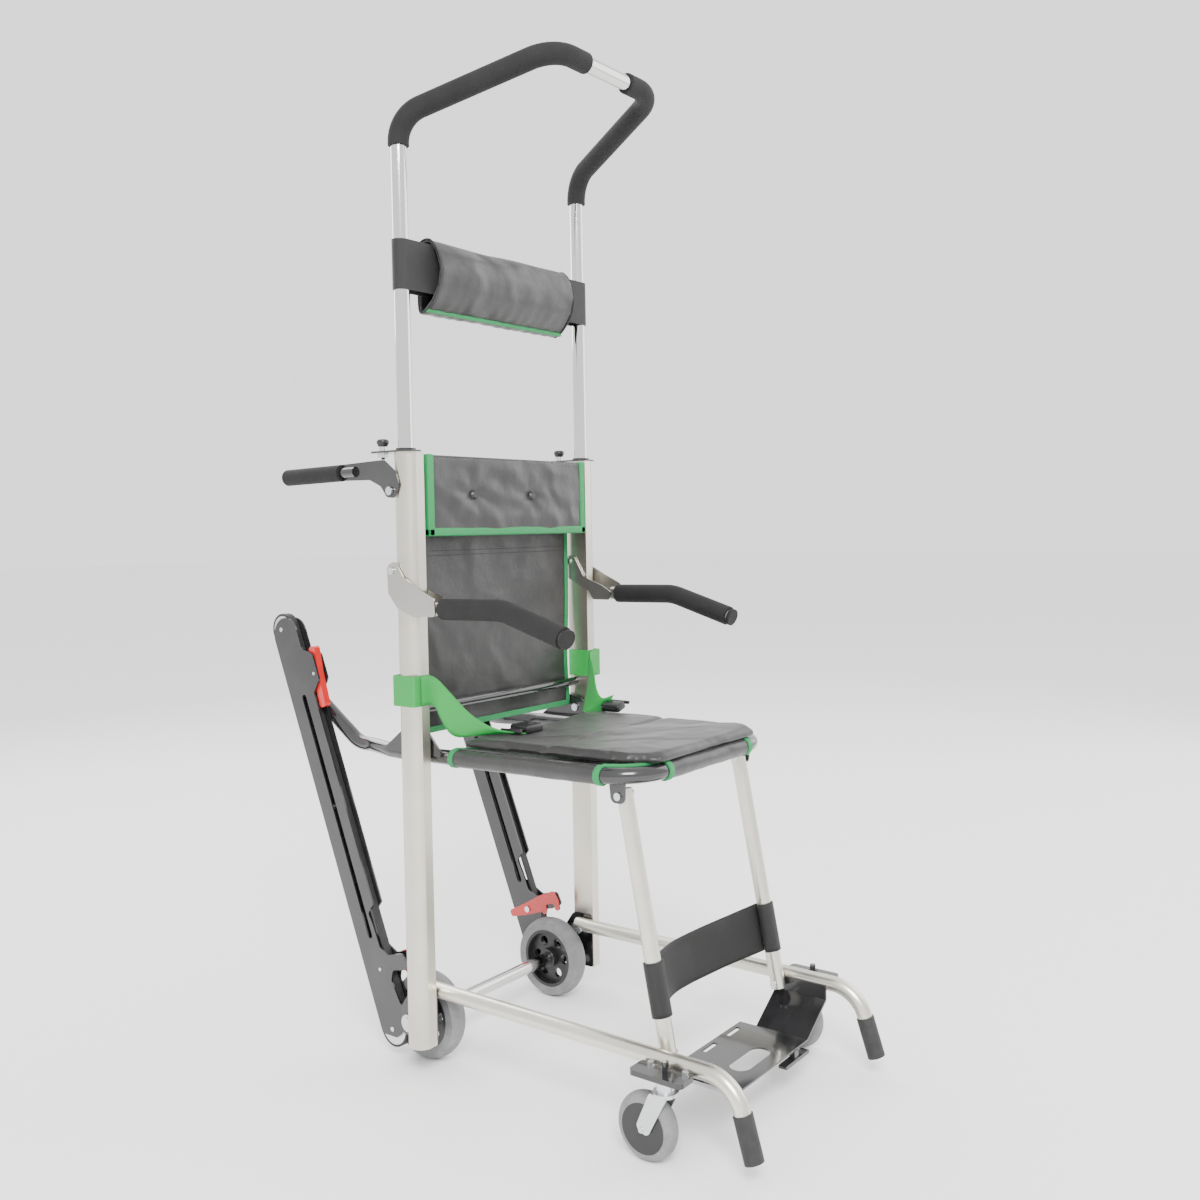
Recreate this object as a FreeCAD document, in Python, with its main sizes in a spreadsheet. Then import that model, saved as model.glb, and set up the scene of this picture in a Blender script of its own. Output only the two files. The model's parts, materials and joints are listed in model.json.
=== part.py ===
import FreeCAD, Part
import math
import os
import re
from types import SimpleNamespace

import Sketcher
from FreeCAD import Placement, Rotation, Vector

# A folding stair chair. The origin is on the floor under the middle of the chair,
# +Z is up, the sitter faces -Y and the sitter's left is +X. Millimetres.

os.makedirs("parts", exist_ok=True)
doc = FreeCAD.newDocument("stair_chair")
sheet = doc.addObject("Spreadsheet::Sheet", "sizes")

sizes = {
    # fits
    "fit_clearance": 0.05,
    "skin_gap": 0.3,
    # uprights: D-shaped tubes that the push handle's posts slide in
    "upright_y": 123.7,
    "post_offset": 222,
    "upright_foot": 52,
    "upright_top": 1035,
    "upright_flat": 16.6,
    "upright_depth": 46,
    "upright_wall": 2.7,
    # tubes
    "tube_radius": 12.5,
    "tube_wall": 2,
    "post_radius": 12.5,
    "post_wall": 1.5,
    "foam_radius": 17,
    # push handle
    "post_foot": 930,
    "handle_bend_height": 1572,
    "handle_top": 1649.5,
    "handle_reach": 252,
    "handle_half_width": 129,
    "bare_half_width": 54,
    # head pad and the strap that carries it
    "pad_half_width": 168,
    "strap_foot": 1296,
    "strap_width": 80,
    "strap_thickness": 2,
    # plates and knobs on top of the uprights
    "top_plate": 3,
    "plunger_radius": 3,
    "plunger_y": 55,
    "knob_radius": 10,
    # carry handles and armrests
    "bolt_radius": 3,
    "plate_thickness": 2.4,
    "carry_grip_radius": 14,
    "carry_pivot_y": 16.5,
    "carry_pivot_height": 972,
    "arm_pivot_y": 18.5,
    "arm_pivot_height": 842,
    "arm_length": 335,
    # seat
    "seat_inset": 36,
    "seat_rear_height": 531,
    "seat_front_height": 540,
    "seat_reach": 430,
    "seat_corner": 70,
    "seat_pivot_y": 5,
    "seat_pivot_height": 560,
    "pin_radius": 4,
    "cushion_half_width": 178,
    # legs
    "leg_inset": 62,
    "leg_pivot_y": -390,
    "leg_pivot_height": 508,
    "leg_foot_y": -463,
    "leg_foot_height": 132,
    "calf_strap_width": 80,
    # rails and footplate
    "rail_inset": 32,
    "rail_height": 138,
    "rail_reach": 597,
    "rail_grip_radius": 14.5,
    "rail_pivot_y": -10,
    "rail_pivot_height": 130,
    "footplate_height": 70,
    "footplate_half_width": 110,
    # casters
    "caster_radius": 50,
    "caster_width": 28,
    "caster_inset": 4,
    "caster_y": -499,
    "caster_trail": 32,
    "swivel_radius": 5,
    # rear wheels
    "wheel_radius": 75,
    "wheel_width": 32,
    "hub_radius": 55,
    "axle_y": 43,
    "axle_radius": 10,
    "sleeve_radius": 12,
    # stair tracks
    "track_plate": 3,
    "track_width": 22,
    "track_gap": 4.4,
    "track_length": 793,
    "track_depth": 66,
    "track_foot_y": 102.3,
    "belt_width": 14,
    "belt_thickness": 4,
    "belt_proud": 4,
    "roller_pin_radius": 4,
    "lever_pivot_y": 277.6,
    "lever_pivot_height": 653.7,
    "clip_pivot_y": 120,
    "clip_pivot_height": 149,
    # lap belt
    "belt_loop_foot": 621,
    "belt_web": 50,
}
for row, (name, number) in enumerate(sizes.items(), start=1):
    sheet.set(f"A{row}", name)
    sheet.set(f"B{row}", str(number))
    sheet.setAlias(f"B{row}", name)
doc.recompute()
s = SimpleNamespace(**{name: float(sheet.get(name)) for name in sizes})

# Places across the chair, worked out from the posts outwards and inwards.
inner_face = s.post_offset - s.upright_flat
outer_face = s.post_offset + s.upright_flat
rail_x = s.post_offset - s.rail_inset
seat_x = s.post_offset - s.seat_inset
leg_x = s.post_offset - s.leg_inset
caster_x = s.post_offset - s.caster_inset
track_outer = inner_face - s.track_gap
track_inner = track_outer - s.track_width
wheel_outer = track_inner - 3

sides = (("left", 1), ("right", -1))
nodes = []


# Helpers.

def bind(thing, prop, formula):
    """Ties a property to a formula written with the sheet's names."""
    thing.setExpression(prop, re.sub(r"[a-z_]{3,}", r"sizes.\g<0>", formula))


def at(x, y, z):
    """A point of the chair, with y counted from the middle of the uprights."""
    return Vector(x, s.upright_y + y, z)


def keep(thing, label):
    """Names a finished sub-part and puts it on the list that is written."""
    thing.Label = label
    nodes.append(thing)
    return thing


def feature(label, shape):
    thing = doc.addObject("Part::Feature", label)
    thing.Shape = shape
    return thing


def rounded(points, radii):
    """Straight runs through the points, with a tangent arc at each inner one."""
    curves = []
    start = points[0]
    for before, corner, after, radius in zip(points, points[1:], points[2:], radii):
        if radius == 0:
            curves.append(Part.LineSegment(start, corner))
            start = corner
            continue
        back = (before - corner).normalize()
        ahead = (after - corner).normalize()
        half = back.getAngle(ahead) / 2
        first = corner + back * (radius / math.tan(half))
        last = corner + ahead * (radius / math.tan(half))
        centre = corner + (back + ahead).normalize() * (radius / math.sin(half))
        middle = centre + (corner - centre).normalize() * radius
        if start.distanceToPoint(first) > 1e-6:
            curves.append(Part.LineSegment(start, first))
        curves.append(Part.Arc(first, middle, last))
        start = last
    if start.distanceToPoint(points[-1]) > 1e-6:
        curves.append(Part.LineSegment(start, points[-1]))
    return curves


def outline(corners):
    """A closed outline whose corners are (across, up, radius)."""
    points = [Vector(across, up, 0) for across, up, _ in corners]
    middle = (points[0] + points[-1]) * 0.5
    return rounded([middle, *points, middle], [radius for *_, radius in corners])


def sketch_in(body, role):
    """A sketch on one of the body's own origin planes."""
    plane = next(item for item in body.Origin.OriginFeatures if item.Role == role)
    sketch = body.newObject("Sketcher::SketchObject", body.Name + "_sketch")
    sketch.AttachmentSupport = [(plane, "")]
    sketch.MapMode = "FlatFace"
    return sketch


def add_hole(sketch, across, up, name):
    """A round hole that fits over the sheet's radius of that name."""
    radius = getattr(s, name) + s.fit_clearance
    circle = Part.Circle(Vector(across, up, 0), Vector(0, 0, 1), radius)
    index = sketch.addGeometry(circle, False)
    number = sketch.addConstraint(Sketcher.Constraint("Radius", index, radius))
    bind(sketch, f"Constraints[{number}]", f"{name} + fit_clearance")


def add_slot(sketch, start, end, half_width):
    """A slot with round ends between two points of the sketch."""
    along = (end - start).normalize()
    across = Vector(-along.y, along.x, 0) * half_width
    tips = [start - along * half_width, end + along * half_width]
    sketch.addGeometry([
        Part.LineSegment(start + across, end + across),
        Part.Arc(end + across, tips[1], end - across),
        Part.LineSegment(end - across, start - across),
        Part.Arc(start - across, tips[0], start + across),
    ], False)


def plate(label, corners, thickness, place, holes=(), slots=(), role="YZ_Plane"):
    """A flat plate: an outline with holes, padded by a thickness from the sheet."""
    body = doc.addObject("PartDesign::Body", label)
    sketch = sketch_in(body, role)
    sketch.addGeometry(outline(corners), False)
    for across, up, name in holes:
        add_hole(sketch, across, up, name)
    for start, end, half_width in slots:
        add_slot(sketch, start, end, half_width)
    pad = body.newObject("PartDesign::Pad", label + "_pad")
    pad.Profile = sketch
    bind(pad, "Length", thickness)
    body.Placement = Placement(place, Rotation())
    return body


def turn_to(axis):
    """The rotation that turns +Z to an axis."""
    return Rotation(Vector(0, 0, 1), Vector(*axis))


def rod(label, radius, length, foot, axis=(1, 0, 0)):
    """A round bar from its foot along an axis; radius and length are formulas."""
    thing = doc.addObject("Part::Cylinder", label)
    bind(thing, "Radius", radius)
    bind(thing, "Height", length)
    thing.Placement = Placement(foot, turn_to(axis))
    return thing


def hexagon(label, radius, height, foot, axis=(1, 0, 0)):
    """A nut or a bolt head."""
    thing = doc.addObject("Part::Prism", label)
    thing.Polygon = 6
    bind(thing, "Circumradius", radius)
    bind(thing, "Height", height)
    thing.Placement = Placement(foot, turn_to(axis))
    return thing


def cut(label, base, tools):
    """The base with one or more tools taken out of it."""
    tool = tools[0] if len(tools) == 1 else join(label + "_tools", tools)
    thing = doc.addObject("Part::Cut", label)
    thing.Base = base
    thing.Tool = tool
    return thing


def join(label, things):
    thing = doc.addObject("Part::MultiFuse", label)
    thing.Shapes = things
    return thing


def group(label, things):
    """Separate solids of one kind under one name."""
    thing = doc.addObject("Part::Compound", label)
    thing.Links = things
    return thing


def ring(label, outer, inner, length, foot, axis=(1, 0, 0)):
    """A round sleeve from its foot along an axis."""
    hole_foot = foot - Vector(*axis)
    return cut(label, rod(label + "_outside", outer, length, foot, axis),
               [rod(label + "_bore", inner, f"{length} + 2", hole_foot, axis)])


def pipe(points, radii, radius):
    """A solid round bar that follows a path of runs and arcs."""
    path = Part.Wire([curve.toShape() for curve in rounded(points, radii)])
    circle = Part.Circle(points[0], points[1] - points[0], radius)
    section = Part.Wire([circle.toShape()])
    return path.makePipeShell([section], True, True)


def bent_tube(points, radii, radius, wall):
    """A hollow tube that follows a path of runs and arcs."""
    return pipe(points, radii, radius).cut(pipe(points, radii, radius - wall))


def across_hole(y, z, radius, low, high):
    """A round cutter along X at a place on the chair."""
    return Part.makeCylinder(radius, high - low, at(low, y, z), Vector(1, 0, 0))


def span(side, near, far):
    """The lower x of a piece that lies between two distances from the middle."""
    return near if side > 0 else -far


# Frame.

def upright(name, side):
    """A D-shaped tube, flat side inwards, with the holes for its pins and bolts."""
    half, wall = s.upright_depth / 2, s.upright_wall
    crown = s.upright_flat * side
    body = doc.addObject("PartDesign::Body", f"upright_profile_{name}")
    sketch = sketch_in(body, "XY_Plane")
    for inset in (0, wall):
        depth = half - inset
        low = (s.upright_flat - inset * 1.25) * -side
        top = crown - inset * side
        sketch.addGeometry([
            Part.LineSegment(Vector(0, -depth, 0), Vector(low, -depth, 0)),
            Part.LineSegment(Vector(low, -depth, 0), Vector(low, depth, 0)),
            Part.LineSegment(Vector(low, depth, 0), Vector(0, depth, 0)),
            Part.Arc(Vector(0, depth, 0), Vector(top, 0, 0), Vector(0, -depth, 0)),
        ], False)
    pad = body.newObject("PartDesign::Pad", f"upright_pad_{name}")
    pad.Profile = sketch
    bind(pad, "Length", "upright_top - upright_foot")
    body.Placement = Placement(at(s.post_offset * side, 0, s.upright_foot), Rotation())

    axis = (side, 0, 0)
    middle = inner_face + s.upright_flat
    deep = "2 * upright_flat + 4"
    drills = [
        rod(f"seat_pin_hole_{name}", "pin_radius + fit_clearance", "upright_flat",
            at((inner_face - 2) * side, s.seat_pivot_y, s.seat_pivot_height), axis),
        rod(f"rail_pin_hole_{name}", "pin_radius + fit_clearance", "upright_flat",
            at((inner_face - 2) * side, s.rail_pivot_y, s.rail_pivot_height), axis),
        rod(f"arm_bolt_hole_{name}", "bolt_radius + fit_clearance", deep,
            at((inner_face - 2) * side, s.arm_pivot_y, s.arm_pivot_height), axis),
        rod(f"carry_bolt_hole_{name}", "bolt_radius + fit_clearance", "upright_flat + 4",
            at(middle * side, s.carry_pivot_y, s.carry_pivot_height), axis),
    ]
    keep(cut(f"upright_{name}", body, drills), f"upright_{name}")


def post_bushes():
    """Plastic sleeves in the top of each upright that the posts run in."""
    bushes = []
    for name, side in sides:
        flange_foot = at(s.post_offset * side, 0, s.upright_top + s.top_plate)
        sleeve = ring(f"bush_sleeve_{name}", "post_radius + 0.6",
                      "post_radius + fit_clearance", "40",
                      at(s.post_offset * side, 0, s.upright_top - 42), (0, 0, 1))
        flange = ring(f"bush_flange_{name}", "post_radius + 3.5",
                      "post_radius + fit_clearance", "top_plate",
                      flange_foot, (0, 0, 1))
        neck = ring(f"bush_neck_{name}", "post_radius + 0.6",
                    "post_radius + fit_clearance", "top_plate + 2",
                    at(s.post_offset * side, 0, s.upright_top - 2), (0, 0, 1))
        bushes.append(join(f"bush_{name}", [sleeve, flange, neck]))
    keep(group("post_bushes", bushes), "post_bushes")


def top_plates():
    """The plates on top of the uprights, which reach back to the plungers."""
    plates = []
    for name, side in sides:
        half = s.upright_flat
        body = plate(f"top_plate_{name}", [(-half, -23, 8), (half, -23, 8), (half, 72, 10), (-half, 72, 10)],
                     "top_plate", at(s.post_offset * side, 0, s.upright_top), role="XY_Plane")
        drills = [
            rod(f"top_post_hole_{name}", "post_radius + 0.65", "top_plate + 4",
                at(s.post_offset * side, 0, s.upright_top - 2), (0, 0, 1)),
            rod(f"top_pin_hole_{name}", "plunger_radius + 2", "top_plate + 4",
                at(s.post_offset * side, s.plunger_y, s.upright_top - 2), (0, 0, 1)),
        ]
        plates.append(cut(f"top_plate_cut_{name}", body, drills))
    keep(group("top_plates", plates), "top_plates")


def plungers():
    """A pull pin with a mushroom knob in a threaded housing, one each side."""
    housings = []
    for name, side in sides:
        x, up = s.post_offset * side, (0, 0, 1)
        barrel = ring(f"plunger_barrel_{name}", "6", "plunger_radius + fit_clearance", "8",
                      at(x, s.plunger_y, s.upright_top + s.top_plate), up)
        neck = ring(f"plunger_neck_{name}", "plunger_radius + 1.9",
                    "plunger_radius + fit_clearance", "top_plate",
                    at(x, s.plunger_y, s.upright_top), up)
        nut = cut(f"plunger_nut_{name}",
                  hexagon(f"plunger_nut_body_{name}", "9", "7", at(x, s.plunger_y, s.upright_top - 7), up),
                  [rod(f"plunger_nut_bore_{name}", "plunger_radius + fit_clearance", "9",
                       at(x, s.plunger_y, s.upright_top - 8), up)])
        housings.append(join(f"plunger_housing_{name}", [barrel, neck, nut]))
        pin = rod(f"plunger_pin_{name}", "plunger_radius", "28",
                  at(x, s.plunger_y, s.upright_top - 10), up)
        knob = doc.addObject("Part::Cone", f"plunger_knob_{name}")
        bind(knob, "Radius1", "knob_radius - 2.5")
        bind(knob, "Radius2", "knob_radius")
        bind(knob, "Height", "6")
        knob.Placement = Placement(at(x, s.plunger_y, s.upright_top + s.top_plate + 8.4), Rotation())
        crown = rod(f"plunger_crown_{name}", "knob_radius", "6",
                    at(x, s.plunger_y, s.upright_top + s.top_plate + 14.4), up)
        soft = doc.addObject("Part::Fillet", f"plunger_crown_round_{name}")
        doc.recompute()
        soft.Base = crown
        top_edge = max(range(len(crown.Shape.Edges)),
                       key=lambda i: crown.Shape.Edges[i].BoundBox.ZMin)
        soft.Edges = [(top_edge + 1, 4, 4)]
        keep(join(f"plunger_{name}", [pin, knob, soft]), f"plunger_{name}")
    keep(group("plunger_housings", housings), "plunger_housings")


def foot_brackets():
    """Plates on the uprights' inner faces that carry the axle and the rail pivots."""
    plates = []
    for name, side in sides:
        corners = [(-23, 52, 6), (62, 52, 12), (64, 98, 20), (23, 155, 20), (-23, 155, 12)]
        holes = [(s.axle_y, s.wheel_radius, "axle_radius"),
                 (s.rail_pivot_y, s.rail_pivot_height, "pin_radius")]
        x = span(side, inner_face - s.plate_thickness, inner_face)
        plates.append(plate(f"foot_bracket_{name}", corners, "plate_thickness", at(x, 0, 0), holes))
    keep(group("foot_brackets", plates), "foot_brackets")


def rear_axle():
    """One shaft through both wheels and tracks, a spacer sleeve and end nuts."""
    y, z = s.axle_y, s.wheel_radius
    shaft = rod("axle_shaft", "axle_radius", "2 * (post_offset - upright_flat) + 14",
                at(-inner_face - 7, y, z))
    sleeve = doc.addObject("Part::Cylinder", "axle_sleeve")
    bind(sleeve, "Radius", "sleeve_radius")
    half = wheel_outer - s.wheel_width - 1
    sleeve.Height = 2 * half
    sleeve.Placement = Placement(at(-half, y, z), turn_to((1, 0, 0)))
    pieces = [shaft, sleeve]
    for name, side in sides:
        pieces.append(rod(f"axle_nut_{name}", "axle_radius + 5", "5",
                          at((inner_face + 0.1) * side, y, z), (side, 0, 0)))
    keep(join("rear_axle", pieces), "rear_axle")


def frame_bolts():
    """Pins and bolts that the seat, rails, armrests and carry handles turn on."""
    bolts = []
    for name, side in sides:
        axis = (side, 0, 0)

        def shank(title, radius, near, far, y, z):
            return rod(f"{title}_{name}", radius, f"{far - near:.4f}", at(near * side, y, z), axis)

        cavity = inner_face + s.upright_wall * 1.25
        seat_yz = (s.seat_pivot_y, s.seat_pivot_height)
        bolts.append(join(f"seat_pin_{name}", [
            shank("seat_pin_shank", "pin_radius", inner_face - 8, cavity, *seat_yz),
            shank("seat_pin_head", "pin_radius + 3", inner_face - 11, inner_face - 7.6, *seat_yz),
        ]))
        rail_yz = (s.rail_pivot_y, s.rail_pivot_height)
        bolts.append(join(f"rail_pin_{name}", [
            shank("rail_pin_shank", "pin_radius", track_inner - 2.4, cavity + 6, *rail_yz),
            shank("rail_pin_head", "pin_radius + 2", track_inner - 2.6, track_inner - 1.7, *rail_yz),
            shank("rail_pin_nut", "pin_radius + 3", cavity + 0.1, cavity + 5, *rail_yz),
        ]))
        arm_yz = (s.arm_pivot_y, s.arm_pivot_height)
        bolts.append(join(f"arm_bolt_{name}", [
            shank("arm_bolt_shank", "bolt_radius", inner_face - 5, outer_face + 5, *arm_yz),
            shank("arm_bolt_nut", "bolt_radius + 3", inner_face - 6, inner_face - 3.6, *arm_yz),
            shank("arm_bolt_head", "bolt_radius + 3", outer_face + 3.8, outer_face + 6.4, *arm_yz),
        ]))
        carry_yz = (s.carry_pivot_y, s.carry_pivot_height)
        bolts.append(join(f"carry_bolt_{name}", [
            shank("carry_bolt_shank", "bolt_radius", outer_face - 8, outer_face + 7, *carry_yz),
            shank("carry_bolt_head", "bolt_radius + 4", outer_face + 4.4, outer_face + 8, *carry_yz),
        ]))
    keep(group("frame_bolts", bolts), "frame_bolts")


def back_crossbars():
    """Two tubes between the uprights that the back sling hangs on."""
    bars = []
    for title, radius, y, z in (("upper", 10, 8, 1012), ("lower", 8, 9.5, 610)):
        outside = rod(f"{title}_bar_outside", str(radius), "2 * (post_offset - upright_flat)",
                      at(-inner_face, y, z))
        bore = rod(f"{title}_bar_bore", f"{radius} - tube_wall",
                   "2 * (post_offset - upright_flat)", at(-inner_face, y, z))
        bars.append(cut(f"{title}_bar", outside, [bore]))
    keep(group("back_crossbars", bars), "back_crossbars")


def back_soft_goods():
    """The sling behind the crossbars and the padded flap in front of its top."""
    half = inner_face - 7.8
    sling = plate("back_sling", [(-half + 12, 566, 4), (half, 566, 4), (half, 1030, 4), (-half, 1030, 4)],
                  "2.5", at(0, 21.2, 0), role="XZ_Plane")
    keep(sling, "back_sling")
    flap = plate("headrest_cushion", [(-half, 898, 14), (half, 898, 14), (half, 1031, 14), (-half, 1031, 14)],
                 "22", at(0, -6, 0), role="XZ_Plane")
    keep(flap, "headrest_cushion")
    buttons = []
    for number, x in enumerate((-96, 50)):
        cap = doc.addObject("Part::Cone", f"cushion_button_{number}")
        bind(cap, "Radius1", "8")
        bind(cap, "Radius2", "5")
        bind(cap, "Height", "3")
        cap.Placement = Placement(at(x, -28, 966), turn_to((0, -1, 0)))
        buttons.append(cap)
    keep(group("cushion_buttons", buttons), "cushion_buttons")


# Push handle and head pad.

def push_handle():
    """A bent tube: two posts, then bends forward and inward to a top bar."""
    points = []
    for side in (-1, 1):
        half = [
            at(s.post_offset * side, 0, s.post_foot),
            at(s.post_offset * side, 0, s.handle_bend_height),
            at(s.handle_half_width * side, -s.handle_reach, s.handle_top),
        ]
        points += half if side < 0 else half[::-1]
    radii = [55, 60, 60, 55]
    tube = bent_tube(points, radii, s.post_radius, s.post_wall)
    keep(feature("push_handle_tube", tube), "push_handle_tube")

    grips = []
    for name, side in sides:
        path = [at(s.post_offset * side, 0, s.handle_bend_height - 46),
                *(points[1:3] if side < 0 else points[4:2:-1]),
                at(s.bare_half_width * side, -s.handle_reach, s.handle_top)]
        outside = pipe(path, radii[:2], s.foam_radius)
        bore = pipe(path, radii[:2], s.post_radius + s.fit_clearance)
        grips.append(feature(f"push_grip_{name}", outside.cut(bore)))
    keep(group("push_grips", grips), "push_grips")


def stadium(half_width, radius, z, height):
    """A flat-sided oval bar round both posts."""
    middle = Part.makeBox(2 * half_width, 2 * radius, height, at(-half_width, -radius, z))
    ends = [Part.makeCylinder(radius, height, at(side * half_width, 0, z)) for side in (-1, 1)]
    return middle.multiFuse(ends).removeSplitter()


def head_pad():
    """A strap round both posts and the padded sleeve that slides over it."""
    inside = s.post_radius + s.skin_gap
    outside = inside + s.strap_thickness
    strap = stadium(s.post_offset, outside, s.strap_foot, s.strap_width).cut(
        stadium(s.post_offset, inside, s.strap_foot - 1, s.strap_width + 2))
    keep(feature("head_strap", strap), "head_strap")

    top = s.strap_foot + s.strap_width
    corners = [(-14, top + 10, 8), (-37, top - 40, 14), (-22, s.strap_foot - 8, 10),
               (2, s.strap_foot - 28, 8), (20, s.strap_foot - 28, 3), (21, top + 2, 6), (8, top + 12, 6)]
    pad = plate("head_pad_outside", corners, "2 * pad_half_width", at(-s.pad_half_width, 0, 0))
    room = outside + s.skin_gap
    channel = feature("head_pad_channel",
                      stadium(s.post_offset, room, s.strap_foot - 3, s.strap_width + 6))
    keep(cut("head_pad", pad, [channel]), "head_pad")


# Carry handles and armrests.

def carry_handles():
    """A cranked plate on the upright's outer side with a foam grip behind it."""
    corners = [(8, 960, 8), (-4, 980, 10), (3, 1002, 14), (32, 1023, 10), (134.8, 1019, 4),
               (134.8, 992, 4), (66, 991, 18), (40, 980, 14), (26, 962, 8)]
    for name, side in sides:
        x = span(side, outer_face + 1, outer_face + 1 + s.plate_thickness)
        base = plate(f"carry_plate_{name}", corners, "plate_thickness", at(x, 0, 0),
                     [(s.carry_pivot_y, s.carry_pivot_height, "bolt_radius")])
        tube_x = (outer_face + 2.4) * side
        core = pipe([at(tube_x, 100, 1006), at(tube_x, 275, 1002)], [], 9)
        core_object = feature(f"carry_core_{name}", core)
        keep(join(f"carry_bracket_{name}", [base, core_object]), f"carry_bracket_{name}")
        ends = [at(tube_x, 135, 1005.2), at(tube_x, 275, 1002)]
        grip = pipe(ends, [], s.carry_grip_radius).cut(pipe(ends, [], 9 + s.fit_clearance))
        cap = pipe([at(tube_x, 275.2, 1002), at(tube_x, 279, 1001.9)], [], s.carry_grip_radius)
        keep(group(f"carry_grip_{name}", [feature(f"carry_foam_{name}", grip),
                                          feature(f"carry_cap_{name}", cap)]),
             f"carry_grip_{name}")


def armrests():
    """A bent tube on two ear plates that straddle the upright."""
    outer_ear = [(10, 859, 10), (30, 850, 10), (28, 805, 12), (8, 782, 10), (-30, 768, 6),
                 (-80, 770, 6), (-78, 799, 6), (-38, 817, 12), (-8, 832, 8)]
    inner_ear = [(8, 856, 10), (29, 850, 10), (24, 812, 12), (-30, 786, 6), (-40, 770, 6),
                 (-82, 770, 6), (-82, 786, 4), (-62, 797, 6), (-18, 813, 12)]
    for name, side in sides:
        hole = [(s.arm_pivot_y, s.arm_pivot_height, "bolt_radius")]
        outer_x = span(side, outer_face + 1, outer_face + 1 + s.plate_thickness)
        inner_x = span(side, inner_face - 3.4, inner_face - 3.4 + s.plate_thickness)
        outer = plate(f"arm_outer_ear_{name}", outer_ear, "plate_thickness", at(outer_x, 0, 0), hole)
        inner = plate(f"arm_inner_ear_{name}", inner_ear, "plate_thickness", at(inner_x, 0, 0), hole)
        tube_x = (s.post_offset + 4) * side
        points = [at(tube_x, -70, 781), at(tube_x, -211, 783), at(tube_x, -s.arm_length, 745)]
        tube = feature(f"arm_tube_{name}", bent_tube(points, [90], s.tube_radius, s.tube_wall))
        low, high = sorted((side * (inner_face - 3), side * (outer_face + 2)))
        tie = Part.makeBox(high - low, 10, 12, at(low, -72, 773))
        web = feature(f"arm_tie_{name}", tie.cut(pipe(points[:2], [], s.tube_radius - s.tube_wall)))
        keep(join(f"armrest_frame_{name}", [outer, inner, tube, web]), f"armrest_frame_{name}")

        direction = (points[2] - points[1]).normalize()
        foam_path = [at(tube_x, -84, 781.2), points[1], points[2] - direction * 4]
        foam = pipe(foam_path, [90], s.foam_radius).cut(
            pipe(foam_path, [90], s.tube_radius + s.fit_clearance))
        tip = points[2] + direction * 0.2
        plug = Part.makeCylinder(s.foam_radius - 2, 6, tip, direction)
        keep(group(f"armrest_grip_{name}", [feature(f"arm_foam_{name}", foam),
                                            feature(f"arm_plug_{name}", plug)]),
             f"armrest_grip_{name}")


# Seat.

def seat_frame():
    """A U-shaped tube with gussets at the pivots, lugs for the legs and tail pins."""
    tail_x = track_inner - s.tube_radius - 1
    points = []
    for side in (-1, 1):
        half = [
            at((tail_x - 1.5) * side, 309, 602),
            at(tail_x * side, 200, s.seat_rear_height),
            at(tail_x * side, 165, s.seat_rear_height),
            at((seat_x - 2) * side, 95, s.seat_rear_height),
            at(seat_x * side, 60, s.seat_rear_height),
            at(seat_x * side, -s.seat_reach, s.seat_front_height),
        ]
        points += half if side < 0 else half[::-1]
    radii = [60, 60, 80, 200, s.seat_corner, s.seat_corner, 200, 80, 60, 60]
    shape = bent_tube(points, radii, s.tube_radius, s.tube_wall)
    tube = feature("seat_tube", shape)
    pieces = [tube]
    low_z = s.seat_rear_height + 4
    for name, side in sides:
        gusset_x = span(side, inner_face - 7.4, inner_face - 3.4)
        gusset = [(-42, low_z, 3), (92, low_z, 3), (88, low_z + 8, 6), (30, s.seat_pivot_height + 26, 14),
                  (-8, s.seat_pivot_height + 20, 14), (-42, low_z + 8, 4)]
        body = plate(f"seat_gusset_{name}", gusset, "4", at(gusset_x, 0, 0),
                     [(s.seat_pivot_y, s.seat_pivot_height, "pin_radius")])
        pieces.append(body)
        lug_x = span(side, leg_x + s.tube_radius + 1.1, leg_x + s.tube_radius + 4.1)
        y, z = s.leg_pivot_y, s.leg_pivot_height
        lug = [(y - 12, z - 11, 10), (y + 14, z - 11, 10), (y + 18, z + 30, 3), (y - 14, z + 30, 3)]
        pieces.append(plate(f"leg_lug_{name}", lug, "plate_thickness", at(lug_x, 0, 0),
                            [(y, z, "bolt_radius")]))
        pin = Part.makeCylinder(5, 12, at(track_inner * side - 0.5 * side, 302, 597.5),
                                Vector(-side, 0, 0))
        pieces.append(feature(f"tail_pin_{name}", pin))
    keep(join("seat_frame", pieces), "seat_frame")


def seat_soft_goods():
    """The sling over the side tubes and the thin cushion on it."""
    rise = (s.seat_front_height - s.seat_rear_height) / (s.seat_reach + 60)

    def tube_top(y):
        return s.seat_rear_height + rise * (60 - y) + s.tube_radius

    rear, front = -62, -s.seat_reach
    gap = s.skin_gap + 0.4
    lift = 2.0
    low = [(rear, tube_top(rear) + gap, 0), (rear, tube_top(rear) + gap + lift, 0),
           (front, tube_top(front) + gap + lift, 0), (front, tube_top(front) + gap, 0)]
    keep(plate("seat_sling", low, "2 * (post_offset - seat_inset)", at(-seat_x, 0, 0)), "seat_sling")
    front = -s.seat_reach - 22
    foot = gap + lift + s.skin_gap
    corners = [(rear, tube_top(rear) + foot, 2), (rear, tube_top(rear) + foot + 13, 5),
               (front, tube_top(front) + foot + 11, 5), (front, tube_top(front) + foot, 2)]
    keep(plate("seat_cushion", corners, "2 * cushion_half_width", at(-s.cushion_half_width, 0, 0)),
         "seat_cushion")
    return tube_top


# Legs.

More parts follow.
